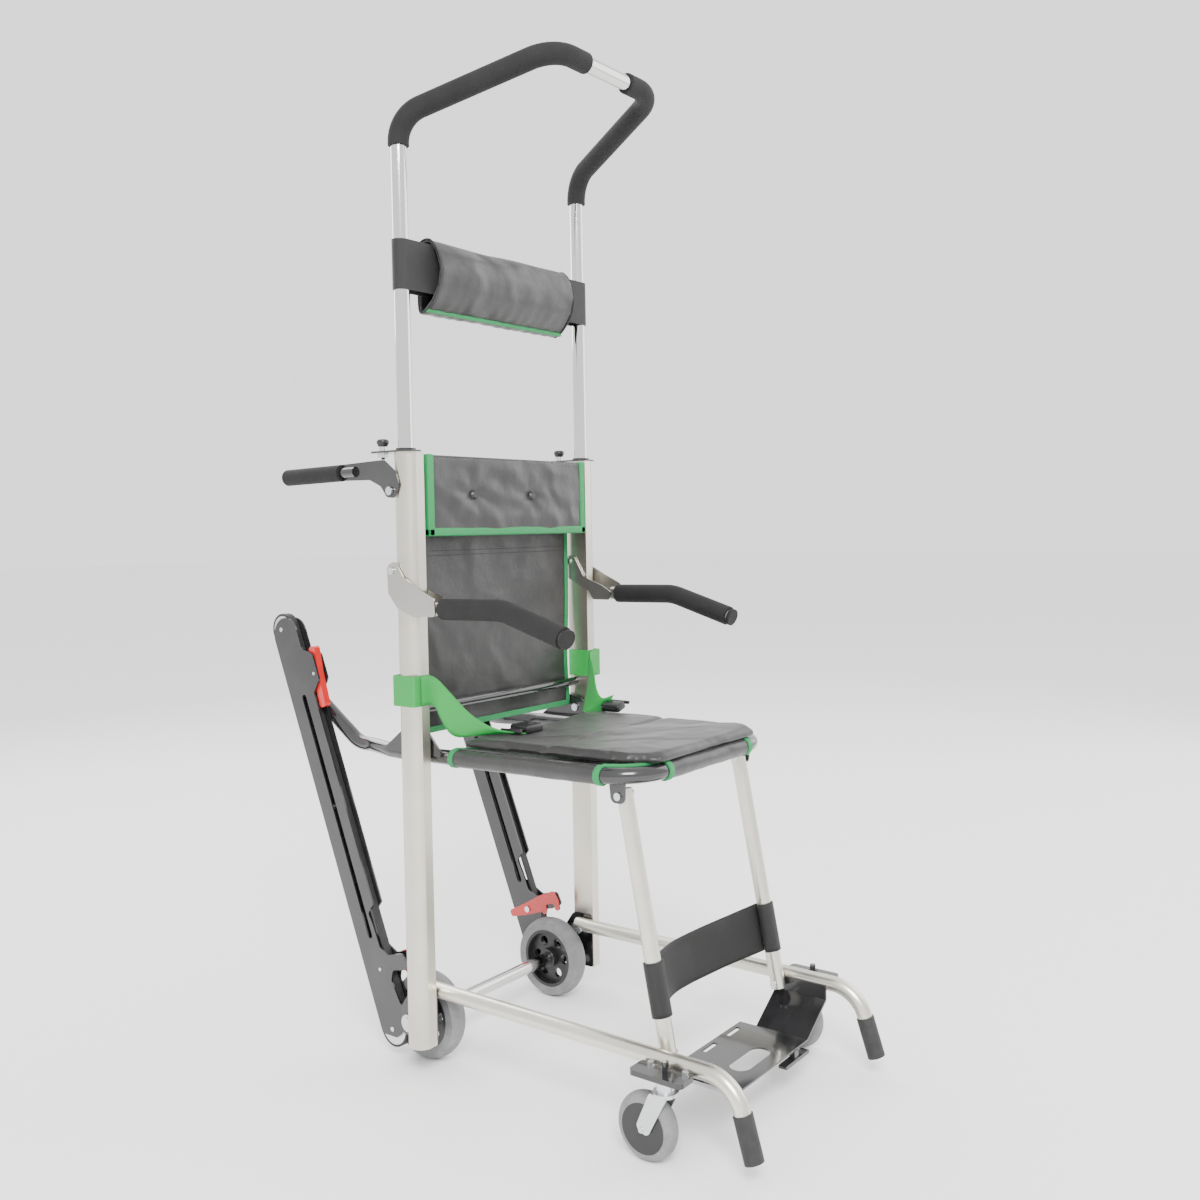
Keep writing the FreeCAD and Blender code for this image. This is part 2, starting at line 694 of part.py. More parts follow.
def legs():
    """Two tubes hinged under the seat front and pinned to the footplate."""
    hip = Vector(0, s.leg_pivot_y, s.leg_pivot_height)
    foot = Vector(0, s.leg_foot_y, s.leg_foot_height)
    along = (foot - hip).normalize()
    tubes = []
    for name, side in sides:
        ends = [at(leg_x * side, *(point.y, point.z)) for point in (hip - along * 9, foot + along * 9)]
        shape = pipe(ends, [], s.tube_radius).cut(pipe(ends, [], s.tube_radius - s.tube_wall))
        for centre in (hip, foot):
            shape = shape.cut(across_hole(centre.y, centre.z, s.bolt_radius + s.fit_clearance, -300, 300))
        tubes.append(feature(f"leg_{name}", shape))
    keep(group("legs", tubes), "legs")

    bolts = []
    for name, side in sides:
        axis = Vector(side, 0, 0)
        for title, centre, head in (("hip", hip, True), ("ankle", foot, False)):
            near = at((leg_x - s.tube_radius - 3.4) * side, centre.y, centre.z)
            reach = s.tube_radius * 2 + (8.2 if head else 4.4)
            bolt = Part.makeCylinder(s.bolt_radius, reach, near, axis).fuse(
                Part.makeCylinder(s.bolt_radius + 3, 3.2, near, axis))
            if head:
                tip = near + axis * (reach - 0.2)
                bolt = bolt.fuse(Part.makeCylinder(s.bolt_radius + 3, 3, tip, axis))
            bolts.append(feature(f"{title}_bolt_{name}", bolt))
    keep(group("leg_bolts", bolts), "leg_bolts")

    inside = s.tube_radius + s.skin_gap
    outside = inside + 2
    start, middle = leg_x - 4, 40
    bow = Part.Arc(Vector(-start, inside, 0), Vector(0, middle, 0), Vector(start, inside, 0))
    back = Part.Arc(Vector(start, outside, 0), Vector(0, middle + 2, 0), Vector(-start, outside, 0))
    wire = Part.Wire([bow.toShape(), Part.makeLine(Vector(start, inside, 0), Vector(start, outside, 0)),
                      back.toShape(), Part.makeLine(Vector(-start, outside, 0), Vector(-start, inside, 0))])
    band = Part.Face(wire).extrude(Vector(0, 0, s.calf_strap_width))
    for side in (-1, 1):
        place = Vector(leg_x * side, 0, 0)
        band = band.fuse(Part.makeCylinder(outside, s.calf_strap_width, place))
    for side in (-1, 1):
        place = Vector(leg_x * side, 0, -1)
        band = band.cut(Part.makeCylinder(inside, s.calf_strap_width + 2, place))
    strap = feature("calf_strap", band)
    share = (185 - s.leg_foot_height) / (s.leg_pivot_height - s.leg_foot_height)
    low = foot + (hip - foot) * share
    tilt = Rotation(Vector(0, 0, 1), hip - foot)
    strap.Placement = Placement(at(0, low.y, low.z), tilt)
    keep(strap, "calf_strap")


# Rails, footplate and casters.

def rails():
    """Two level tubes from the foot brackets to the upturned front grips."""
    tubes, grips = [], []
    for name, side in sides:
        x = rail_x * side
        points = [at(x, 3, s.rail_height), at(x, -s.rail_reach, s.rail_height),
                  at(x + 3 * side, -s.rail_reach - 32.5, 33)]
        shape = bent_tube(points, [60], s.tube_radius, s.tube_wall)
        shape = shape.cut(across_hole(s.rail_pivot_y, s.rail_pivot_height,
                                      s.pin_radius + s.fit_clearance, -300, 300))
        tubes.append(feature(f"rail_{name}", shape))
        drop = (points[2] - points[1]).normalize()
        start, end = points[1] + drop * 46, points[2]
        sleeve = pipe([start, end + drop * 1], [], s.rail_grip_radius).cut(
            pipe([start, end + drop * 0.1], [], s.tube_radius + s.fit_clearance))
        grips.append(feature(f"rail_grip_{name}", sleeve))
    keep(group("rails", tubes), "rails")
    keep(group("rail_grips", grips), "rail_grips")


def caster_plates():
    """Flat plates outboard of the rails, each with a welded swivel spindle."""
    plates = []
    for name, side in sides:
        near, far = rail_x + s.tube_radius + 0.2, caster_x + 22
        low, high = sorted((near * side, far * side))
        corners = [(low, -540, 8), (high, -540, 8), (high, -448, 8), (low, -448, 8)]
        body = plate(f"caster_plate_{name}", corners, "8", at(0, 0, 128), role="XY_Plane")
        spindle = rod(f"spindle_{name}", "swivel_radius", "48",
                      at(caster_x * side, s.caster_y, 103), (0, 0, 1))
        head = hexagon(f"spindle_head_{name}", "8", "7", at(caster_x * side, s.caster_y, 136),
                       (0, 0, 1))
        plates.append(join(f"caster_mount_{name}", [body, spindle, head]))
    keep(group("caster_plates", plates), "caster_plates")


def footplate():
    """A folded sheet: flat tread with an oval hole, sloping sides, end tabs."""
    half, z = s.footplate_half_width, s.footplate_height
    tab = leg_x + s.tube_radius + 1.8
    top = [Vector(-tab - 3, 138, 0), Vector(-tab - 3, 113, 0), Vector(-half - 1, z - 1.5, 0),
           Vector(half + 1, z - 1.5, 0), Vector(tab + 3, 113, 0), Vector(tab + 3, 138, 0),
           Vector(tab, 138, 0), Vector(tab, 115, 0), Vector(half, z + 1.5, 0),
           Vector(-half, z + 1.5, 0), Vector(-tab, 115, 0), Vector(-tab, 138, 0)]
    corners = [Vector(point.x, s.upright_y - 450, point.y) for point in top]
    sheet_metal = Part.Face(Part.makePolygon(corners + corners[:1])).extrude(Vector(0, -97, 0))
    flange = Part.makeBox(2 * half, 32, 3, at(-half, -450, z - 1.5))
    sheet_metal = sheet_metal.fuse(flange)
    oval = stadium(27, 18, z - 5, 10)
    oval.translate(Vector(0, -505, 0))
    sheet_metal = sheet_metal.cut(oval)
    for x in (-70, 0, 70):
        sheet_metal = sheet_metal.cut(Part.makeBox(36, 9, 10, at(x - 18, -434, z - 5)))
    for _, side in sides:
        low = span(side, tab, tab + 3)
        ear = Part.makeBox(3, 24, 24, at(low, s.leg_foot_y - 10, 114))
        sheet_metal = sheet_metal.fuse(ear)
    keep(feature("footplate", sheet_metal.removeSplitter()), "footplate")

    lever = plate("footplate_lever_bar", [(35, 50, 2), (110, 50, 2), (110, 56, 2), (35, 56, 2)],
                  "14", at(0, -536, 0), role="XZ_Plane")
    stalk = doc.addObject("Part::Box", "lever_stalk")
    bind(stalk, "Length", "12")
    bind(stalk, "Width", "10")
    bind(stalk, "Height", "footplate_height - 56.5 - fit_clearance")
    stalk.Placement = Placement(at(66, -548, 55), Rotation())
    keep(join("footplate_lever", [lever, stalk]), "footplate_lever")


def casters():
    """A zinc fork, hub and tyre on each swivel spindle."""
    radius, half = s.caster_radius, s.caster_width / 2
    wheel_y = s.caster_y + s.caster_trail
    for name, side in sides:
        x = caster_x * side
        crown = Part.makeCylinder(19, 5, at(x, s.caster_y, 104)).fuse(
            Part.makeCylinder(14, 17, at(x, s.caster_y, 109)))
        fork = crown
        for cheek in (-1, 1):
            near = x + cheek * (half + 1.2)
            low = min(near, near + cheek * 2.6)
            corners = [(s.caster_y - 14, 107, 3), (s.caster_y + 17, 107, 4), (wheel_y + 10, 52, 9),
                       (wheel_y - 11, 42, 9)]
            face = Part.Face(Part.Wire([curve.toShape() for curve in outline(corners)]))
            arm = face.extrude(Vector(0, 0, 2.6))
            arm.Placement = Placement(at(low, 0, 0), Rotation(Vector(1, 1, 1), 120))
            fork = fork.fuse(arm)
        bore = Part.makeCylinder(s.swivel_radius + s.fit_clearance, 40, at(x, s.caster_y, 98))
        pin = Part.makeCylinder(4, s.caster_width + 10, at(x - half - 5, wheel_y, radius), Vector(1, 0, 0))
        keep(feature(f"caster_fork_{name}", fork.cut(bore).fuse(pin)), f"caster_fork_{name}")
        foot = at(x - half, wheel_y, radius)
        hub = ring(f"caster_hub_{name}", "caster_radius - 13.1", "4 + fit_clearance",
                   "caster_width", foot)
        keep(hub, f"caster_hub_{name}")
        tyre = turned(f"caster_tyre_{name}", s.caster_radius, s.caster_radius - 13, half, 9)
        tyre.Placement = Placement(at(x, wheel_y, radius), Rotation())
        keep(tyre, f"caster_tyre_{name}")


def turned(label, radius, bore, half, crown):
    """A tyre turned about X: straight walls and a crowned tread."""
    body = doc.addObject("PartDesign::Body", label)
    sketch = sketch_in(body, "XY_Plane")
    shoulder = radius - crown
    sketch.addGeometry([
        Part.LineSegment(Vector(-half, bore, 0), Vector(half, bore, 0)),
        Part.LineSegment(Vector(half, bore, 0), Vector(half, shoulder, 0)),
        Part.Arc(Vector(half, shoulder, 0), Vector(0, radius, 0), Vector(-half, shoulder, 0)),
        Part.LineSegment(Vector(-half, shoulder, 0), Vector(-half, bore, 0)),
    ], False)
    spin = body.newObject("PartDesign::Revolution", label + "_spin")
    spin.Profile = sketch
    spin.ReferenceAxis = (sketch, ["H_Axis"])
    spin.Angle = 360
    return body


def rear_wheels():
    """A black hub and a grey tyre on each side of the sleeve."""
    half = s.wheel_width / 2
    for name, side in sides:
        x = (wheel_outer - half) * side
        foot = at(x - half, s.axle_y, s.wheel_radius)
        rim = ring(f"rear_rim_{name}", "hub_radius", "hub_radius - 6", "wheel_width", foot)
        web = ring(f"rear_web_{name}", "hub_radius - 4", "axle_radius + 4", "8",
                   foot + Vector(half - 4, 0, 0))
        core = ring(f"rear_core_{name}", "axle_radius + 8", "axle_radius + fit_clearance",
                    "wheel_width", foot)
        drills = [rod(f"rear_hole_{name}_{turn}", "9", "12",
                      foot + Vector(half - 6, 33 * math.cos(math.radians(turn * 60)),
                                    33 * math.sin(math.radians(turn * 60)))) for turn in range(6)]
        whole = join(f"rear_hub_solid_{name}", [rim, web, core])
        keep(cut(f"rear_hub_{name}", whole, drills), f"rear_hub_{name}")
        tyre = turned(f"rear_tyre_{name}", s.wheel_radius, s.hub_radius + s.fit_clearance, half, 5)
        tyre.Placement = Placement(at(x, s.axle_y, s.wheel_radius), Rotation())
        keep(tyre, f"rear_tyre_{name}")


def rail_bolts():
    """Cap screws that hold the caster plates to the rails."""
    heads = []
    for name, side in sides:
        for number, y in enumerate((-468, -528)):
            heads.append(hexagon(f"rail_bolt_{name}_{number}", "5", "5",
                                 at((rail_x + s.tube_radius + 8) * side, y, 136.05), (0, 0, 1)))
    keep(group("rail_bolts", heads), "rail_bolts")


# Stair tracks.

lean = math.atan(0.4)


def on_track(along, across):
    """Chair y and z of a point given along the track and forward of its rear edge."""
    y = s.track_foot_y + along * math.sin(lean) - across * math.cos(lean)
    return y, along * math.cos(lean) + across * math.sin(lean)


def belt_centres():
    """Roller centres and the belt's outer radius at the top and bottom."""
    top_radius = s.track_depth / 2 - s.belt_proud
    low_radius = top_radius + 3
    return ((s.track_length - 18, top_radius - s.belt_proud, top_radius),
            (43, low_radius - s.belt_proud, low_radius))


def track_plates():
    """Two plates a side: straight run, round top, lever boss, hook arm and axle boss."""
    length, depth = s.track_length, s.track_depth
    corners = [
        (s.track_foot_y + 15, 38, 8),
        (*on_track(length, 0), depth / 2 - 0.1), (*on_track(length, depth), depth / 2 - 0.1),
        (*on_track(724, depth), 6), (*on_track(706, depth + 24), 9),
        (*on_track(658, depth + 24), 9), (*on_track(640, depth), 8),
        (*on_track(253, depth), 5), (148, 243, 8), (136, 224, 6), (120, 188, 8), (100, 178, 6),
        (62, 188, 8), (49, 162, 7), (88, 154, 8), (92, 134, 8), (70, 98, 8),
        (s.axle_y - 22, s.wheel_radius + 22, 21.9), (s.axle_y - 22, s.wheel_radius - 22, 21.9),
        (64, s.wheel_radius - 22, 6), (80, 38, 8),
    ]
    (top_u, top_v, _), (low_u, low_v, _) = belt_centres()
    holes = [
        (s.axle_y, s.wheel_radius, "axle_radius"),
        (*on_track(top_u, top_v), "roller_pin_radius"), (*on_track(low_u, low_v), "roller_pin_radius"),
        (s.lever_pivot_y, s.lever_pivot_height, "bolt_radius"),
        (s.clip_pivot_y, s.clip_pivot_height, "bolt_radius"),
    ]
    slot = [(Vector(*on_track(205, 37), 0), Vector(*on_track(640, 37), 0), 5.5)]
    plates = []
    for name, side in sides:
        for title, near in (("inner", track_inner), ("outer", track_outer - s.track_plate)):
            x = span(side, near, near + s.track_plate)
            plates.append(plate(f"track_{title}_{name}", corners, "track_plate", at(x, 0, 0), holes, slot))
    keep(group("track_plates", plates), "track_plates")


def belt_outline(inset):
    """The loop round both rollers, as one closed wire in the track's plane."""
    (top_u, top_v, top_r), (low_u, low_v, low_r) = belt_centres()
    top, low = Vector(*on_track(top_u, top_v), 0), Vector(*on_track(low_u, low_v), 0)
    span_vector = top - low
    swing = math.asin((low_r - top_r) / span_vector.Length)
    unit = span_vector * (1 / span_vector.Length)

    def turned_unit(angle):
        return Vector(unit.x * math.cos(angle) - unit.y * math.sin(angle),
                      unit.x * math.sin(angle) + unit.y * math.cos(angle), 0)

    left, right = turned_unit(math.pi / 2 - swing), turned_unit(swing - math.pi / 2)
    top_r, low_r = top_r - inset, low_r - inset
    edges = [
        Part.LineSegment(low + left * low_r, top + left * top_r),
        Part.Arc(top + left * top_r, top + unit * top_r, top + right * top_r),
        Part.LineSegment(top + right * top_r, low + right * low_r),
        Part.Arc(low + right * low_r, low - unit * low_r, low + left * low_r),
    ]
    return edges


def track_belts():
    """A grooved rubber belt that runs between each pair of plates."""
    belts = []
    for name, side in sides:
        body = doc.addObject("PartDesign::Body", f"belt_{name}")
        sketch = sketch_in(body, "YZ_Plane")
        sketch.addGeometry(belt_outline(0) + belt_outline(s.belt_thickness), False)
        pad = body.newObject("PartDesign::Pad", f"belt_pad_{name}")
        pad.Profile = sketch
        bind(pad, "Length", "belt_width")
        middle = (track_inner + track_outer) / 2 * side
        body.Placement = Placement(at(middle - s.belt_width / 2, 0, 0), Rotation())
        belts.append(body)
    keep(group("track_belts", belts), "track_belts")


def track_rollers():
    """Belt rollers on their pins, the spacers and the lever and clip pins."""
    pieces = []
    for name, side in sides:
        axis = (side, 0, 0)
        for title, (u, v, outer) in zip(("top", "low"), belt_centres()):
            y, z = on_track(u, v)
            radius = outer - s.belt_thickness - s.skin_gap
            roller = rod(f"{title}_roller_{name}", str(radius), "belt_width",
                         at((track_inner + 4) * side, y, z), axis)
            pin = rod(f"{title}_roller_pin_{name}", "roller_pin_radius", "track_width + 1",
                      at((track_inner - 0.5) * side, y, z), axis)
            pieces.append(join(f"{title}_roller_set_{name}", [roller, pin]))
        for u, v in ((690, 26), (440, 18), (145, 14)):
            y, z = on_track(u, v)
            pieces.append(rod(f"spacer_{name}_{u}", "roller_pin_radius", "track_width - 2 * track_plate",
                              at((track_inner + s.track_plate) * side, y, z), axis))
        pieces.append(rod(f"lever_pin_{name}", "bolt_radius", "track_width + 1",
                          at((track_inner - 0.5) * side, s.lever_pivot_y, s.lever_pivot_height), axis))
        clip_pin = rod(f"clip_pin_{name}", "bolt_radius", "track_width + 4",
                       at((track_inner - 3.5) * side, s.clip_pivot_y, s.clip_pivot_height), axis)
        clip_head = rod(f"clip_head_{name}", "bolt_radius + 3", "3",
                        at((track_inner - 5.7) * side, s.clip_pivot_y, s.clip_pivot_height), axis)
        pieces.append(join(f"clip_pin_set_{name}", [clip_pin, clip_head]))
    keep(group("track_rollers", pieces), "track_rollers")


def track_levers():
    """Red release levers between the plates' bosses, and red clips beside the arms."""
    pivot_y, pivot_z = s.lever_pivot_y, s.lever_pivot_height
    lever = [(281, 703, 5), (297, 699, 6), (286, 651, 20), (268, 592, 6), (253, 596, 6), (271, 656, 20)]
    clip = [(170, 138, 6), (163, 126, 6), (118, 138, 10), (84, 150, 4), (76, 145, 4), (70, 152, 4),
            (72, 166, 4), (54, 172, 4), (46, 158, 4), (36, 162, 4), (40, 180, 8), (52, 197, 8),
            (90, 181, 10), (126, 160, 10)]
    thick = 12
    for name, side in sides:
        middle = (track_inner + track_outer) / 2 * side
        arm = plate(f"track_lever_{name}", lever, str(thick), at(middle - thick / 2, 0, 0),
                    [(pivot_y, pivot_z, "bolt_radius")])
        keep(arm, f"track_lever_{name}")
        x = span(side, track_inner - 2.6, track_inner - 0.3)
        hook = plate(f"track_clip_{name}", clip, "2.3", at(x, 0, 0),
                     [(s.clip_pivot_y, s.clip_pivot_height, "bolt_radius")])
        keep(hook, f"track_clip_{name}")


# Lap belt.

def lap_belt(cushion_top):
    """Loops round the uprights, a web from each to the seat, and a two-part buckle."""
    foot, web = s.belt_loop_foot, s.belt_web
    gap, thick = s.skin_gap, 2
    loops = []
    half_x, half_y = s.upright_flat + gap, s.upright_depth / 2 + gap
    for name, side in sides:
        centre = at(s.post_offset * side, 0, foot)
        outside = Part.makeBox(2 * (half_x + thick), 2 * (half_y + thick), web,
                               centre - Vector(half_x + thick, half_y + thick, 0))
        inside = Part.makeBox(2 * half_x, 2 * half_y, web + 2, centre - Vector(half_x, half_y, 1))
        uprights = [edge for edge in outside.Edges if abs(edge.tangentAt(0).z) > 0.9]
        loops.append(feature(f"belt_loop_{name}", outside.makeFillet(4, uprights).cut(inside)))
    keep(group("belt_loops", loops), "belt_loops")

    front = -s.upright_depth / 2 - gap - thick - 0.4
    ends = {
        "right": (-132, -92, -118, -135, cushion_top + 2.2),
        "left": (184, -80, 150, -82, cushion_top + 2.2),
    }
    for name, side in sides:
        x1, y1, x2, y2, z = ends[name]
        edge = (inner_face + 1) * side
        first = [at(edge, front, foot), at(edge, front - thick, foot),
                 at(edge, front - thick, foot + web), at(edge, front, foot + web)]
        last = [at(x2, y2, z), at(x2, y2, z + thick), at(x1, y1, z + thick), at(x1, y1, z)]
        wires = [Part.makePolygon(corners + corners[:1]) for corners in (first, last)]
        keep(feature(f"belt_web_{name}", Part.makeLoft(wires, True, True)), f"belt_web_{name}")

    tongue = Part.makeBox(62, 46, 15, at(-116, -140, cushion_top + 2))
    tongue = tongue.makeFillet(4, tongue.Edges)
    keep(feature("buckle_tongue", tongue), "buckle_tongue")
    socket = Part.makeBox(36, 48, 16)
    thing = feature("buckle_socket", socket.makeFillet(4, socket.Edges))
    thing.Placement = Placement(at(150, -142, cushion_top + 2), Rotation(Vector(0, 1, 0), -18))
    keep(thing, "buckle_socket")


for name, side in sides:
    upright(name, side)
post_bushes()
top_plates()
plungers()
foot_brackets()
rear_axle()
frame_bolts()
back_crossbars()
back_soft_goods()
push_handle()
head_pad()
carry_handles()
armrests()
seat_frame()
tube_top = seat_soft_goods()
legs()
rails()
caster_plates()
footplate()
casters()
rear_wheels()
rail_bolts()
track_plates()
track_belts()
track_rollers()
track_levers()
lap_belt(tube_top(-110) + 16)

doc.recompute()

for thing in doc.Objects:
    if "Invalid" in thing.State or "Error" in thing.State:
        raise RuntimeError(f"{thing.Label} failed: {thing.State}")
labels = [thing.Label for thing in nodes]
if len(set(labels)) != len(labels):
    raise RuntimeError("two sub-parts share a label")
for thing in nodes:
    if thing.Shape.isNull() or not thing.Shape.isValid() or not thing.Shape.Solids:
        raise RuntimeError(f"{thing.Label} has no valid solid")
whole = FreeCAD.BoundBox()
for thing in nodes:
    thing.Shape.exportStep(f"parts/{thing.Label}.step")
    whole.add(thing.Shape.BoundBox)
    print(thing.Label, len(thing.Shape.Solids), round(thing.Shape.Volume))
print(len(nodes), "nodes,", whole)
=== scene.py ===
import json
import math

import bmesh
import bpy
from mathutils import Matrix, Vector, noise


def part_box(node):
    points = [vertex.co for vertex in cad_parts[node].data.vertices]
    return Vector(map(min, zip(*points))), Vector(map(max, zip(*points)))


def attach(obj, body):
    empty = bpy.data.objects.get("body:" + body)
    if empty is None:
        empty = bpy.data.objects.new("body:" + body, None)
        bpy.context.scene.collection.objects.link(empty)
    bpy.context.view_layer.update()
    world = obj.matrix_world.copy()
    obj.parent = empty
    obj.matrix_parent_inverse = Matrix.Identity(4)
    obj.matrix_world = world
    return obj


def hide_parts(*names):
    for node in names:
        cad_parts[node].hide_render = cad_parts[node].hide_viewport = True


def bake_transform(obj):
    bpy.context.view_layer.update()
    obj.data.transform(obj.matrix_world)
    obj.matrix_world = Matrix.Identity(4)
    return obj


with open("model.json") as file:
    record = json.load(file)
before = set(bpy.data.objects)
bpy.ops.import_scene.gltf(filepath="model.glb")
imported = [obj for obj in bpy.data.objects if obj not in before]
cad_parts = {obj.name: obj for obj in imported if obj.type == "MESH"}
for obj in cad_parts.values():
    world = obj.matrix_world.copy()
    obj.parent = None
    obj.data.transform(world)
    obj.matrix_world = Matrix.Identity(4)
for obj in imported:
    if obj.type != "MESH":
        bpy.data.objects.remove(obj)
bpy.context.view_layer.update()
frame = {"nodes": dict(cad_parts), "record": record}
print("frame loaded", len(frame["nodes"]), "nodes")

nodes = frame["nodes"]
uprightLow, uprightHigh = (Vector(corner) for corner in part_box("upright_left"))
uprightY = (uprightLow.y + uprightHigh.y) / 2  # middle plane of the uprights


def at(x, y, z):
    return Vector((x, uprightY + y, z))  # metres, y counted from the uprights


def newMaterial(name, colour, metallic=0.0, roughness=0.5, coat=0.0, sheen=0.0, specular=0.5):
    material = bpy.data.materials.new(name)
    material.use_nodes = True
    tree = material.node_tree
    shader = tree.nodes["Principled BSDF"]
    shader.inputs["Base Color"].default_value = (*colour, 1)
    shader.inputs["Metallic"].default_value = metallic
    shader.inputs["Roughness"].default_value = roughness
    shader.inputs["Coat Weight"].default_value = coat
    shader.inputs["Coat Roughness"].default_value = 0.08
    shader.inputs["Sheen Weight"].default_value = sheen
    shader.inputs["Specular IOR Level"].default_value = specular
    return material, tree, shader


def objectCoords(tree, scale=(1, 1, 1)):
    coords = tree.nodes.new("ShaderNodeTexCoord")
    mapping = tree.nodes.new("ShaderNodeMapping")
    mapping.inputs["Scale"].default_value = scale
    tree.links.new(coords.outputs["Object"], mapping.inputs["Vector"])
    return mapping.outputs["Vector"]


def addNoise(tree, vector, scale, detail=3.0, roughness=0.5):
    node = tree.nodes.new("ShaderNodeTexNoise")
    node.inputs["Scale"].default_value = scale
    node.inputs["Detail"].default_value = detail
    node.inputs["Roughness"].default_value = roughness
    tree.links.new(vector, node.inputs["Vector"])
    return node.outputs["Fac"]


def addRamp(tree, value, stops):
    ramp = tree.nodes.new("ShaderNodeValToRGB")
    for element, (place, colour) in zip(ramp.color_ramp.elements, stops):
        element.position = place
        element.color = (*colour, 1)
    tree.links.new(value, ramp.inputs["Fac"])
    return ramp.outputs["Color"]


def addRange(tree, value, low, high):
    node = tree.nodes.new("ShaderNodeMapRange")
    node.inputs["To Min"].default_value = low
    node.inputs["To Max"].default_value = high
    tree.links.new(value, node.inputs["Value"])
    return node.outputs["Result"]


def addBump(tree, shader, height, strength, distance, under=None):
    bump = tree.nodes.new("ShaderNodeBump")
    bump.inputs["Strength"].default_value = strength
    bump.inputs["Distance"].default_value = distance
    tree.links.new(height, bump.inputs["Height"])
    if under is not None:
        tree.links.new(under.outputs["Normal"], bump.inputs["Normal"])
    tree.links.new(bump.outputs["Normal"], shader.inputs["Normal"])
    return bump


def anodisedAlloy(name, colour, along):
    material, tree, shader = newMaterial(name, colour, metallic=1.0, roughness=0.3)
    brushed = addNoise(tree, objectCoords(tree, along), 1.0, 4)
    soft = addNoise(tree, objectCoords(tree), 9.0)
    dark = tuple(part * 0.86 for part in colour)
    tree.links.new(addRamp(tree, soft, [(0.35, dark), (0.65, colour)]), shader.inputs["Base Color"])
    tree.links.new(addRange(tree, brushed, 0.24, 0.40), shader.inputs["Roughness"])
    addBump(tree, shader, brushed, 0.12, 0.0004)
    return material


def polishedSteel(name, colour, low, high):
    material, tree, shader = newMaterial(name, colour, metallic=1.0, roughness=low)
    smear = addNoise(tree, objectCoords(tree), 26.0, 5)
    scratch = addNoise(tree, objectCoords(tree, (900, 900, 30)), 1.0, 2)
    tree.links.new(addRange(tree, smear, low, high), shader.inputs["Roughness"])
    addBump(tree, shader, scratch, 0.05, 0.0002)
    return material


def blackPaint(name, roughness, coat):
    material, tree, shader = newMaterial(name, (0.011, 0.011, 0.012), roughness=roughness, coat=coat)
    peel = addNoise(tree, objectCoords(tree), 420.0, 2)
    dust = addNoise(tree, objectCoords(tree), 14.0, 6, 0.65)
    tree.links.new(addRamp(tree, dust, [(0.4, (0.009, 0.009, 0.010)), (0.75, (0.022, 0.022, 0.023))]),
                   shader.inputs["Base Color"])
    tree.links.new(addRange(tree, dust, roughness * 0.8, roughness * 1.5), shader.inputs["Roughness"])
    addBump(tree, shader, peel, 0.16, 0.0003)
    return material


def foamRubber(name):
    material, tree, shader = newMaterial(name, (0.004, 0.004, 0.004), roughness=0.85)
    pores = addNoise(tree, objectCoords(tree), 1500.0, 3, 0.7)
    patches = addNoise(tree, objectCoords(tree), 30.0, 4)
    tree.links.new(addRamp(tree, patches, [(0.3, (0.003, 0.003, 0.003)), (0.75, (0.007, 0.007, 0.007))]),
                   shader.inputs["Base Color"])
    addBump(tree, shader, pores, 0.5, 0.0006)
    return material


def coatedCloth(name, colour, grain, roughness=0.38):
    material, tree, shader = newMaterial(name, colour, roughness=roughness, sheen=0.1, specular=0.5)
    cells = tree.nodes.new("ShaderNodeTexVoronoi")
    cells.inputs["Scale"].default_value = grain
    tree.links.new(objectCoords(tree), cells.inputs["Vector"])
    crumple = addNoise(tree, objectCoords(tree), 32.0, 6, 0.55)
    tone = addNoise(tree, objectCoords(tree), 7.0, 4)
    dark = tuple(part * 0.72 for part in colour)
    light = tuple(part * 1.25 for part in colour)
    tree.links.new(addRamp(tree, tone, [(0.3, dark), (0.7, light)]), shader.inputs["Base Color"])
    tree.links.new(addRange(tree, crumple, roughness * 0.8, roughness * 1.4), shader.inputs["Roughness"])
    fold = tree.nodes.new("ShaderNodeTexWave")
    fold.bands_direction = "DIAGONAL"
    fold.inputs["Scale"].default_value = 5.0
    fold.inputs["Distortion"].default_value = 9.0
    fold.inputs["Detail Scale"].default_value = 1.4
    tree.links.new(objectCoords(tree), fold.inputs["Vector"])
    broad = addBump(tree, shader, fold.outputs["Fac"], 0.22, 0.010)
    large = addBump(tree, shader, crumple, 0.35, 0.004, under=broad)
    addBump(tree, shader, cells.outputs["Distance"], 0.22, 0.0005, under=large)
    return material


def webbing(name, colour, pitch, roughness=0.6):
    material, tree, shader = newMaterial(name, colour, roughness=roughness, sheen=0.04)
    vector = objectCoords(tree)
    waves = []
    for direction in ("X", "Z"):
        wave = tree.nodes.new("ShaderNodeTexWave")
        wave.wave_type = "BANDS"
        wave.bands_direction = direction
        wave.inputs["Scale"].default_value = pitch
        wave.inputs["Distortion"].default_value = 0.4
        tree.links.new(vector, wave.inputs["Vector"])
        waves.append(wave.outputs["Fac"])
    mixed = tree.nodes.new("ShaderNodeMath")
    mixed.operation = "MULTIPLY"
    tree.links.new(waves[0], mixed.inputs[0])
    tree.links.new(waves[1], mixed.inputs[1])
    dark = tuple(part * 0.6 for part in colour)
    weave = addRamp(tree, mixed.outputs[0], [(0.1, dark), (0.8, colour)])
    tree.links.new(weave, shader.inputs["Base Color"])
    addBump(tree, shader, mixed.outputs[0], 0.5, 0.0008)
    return material


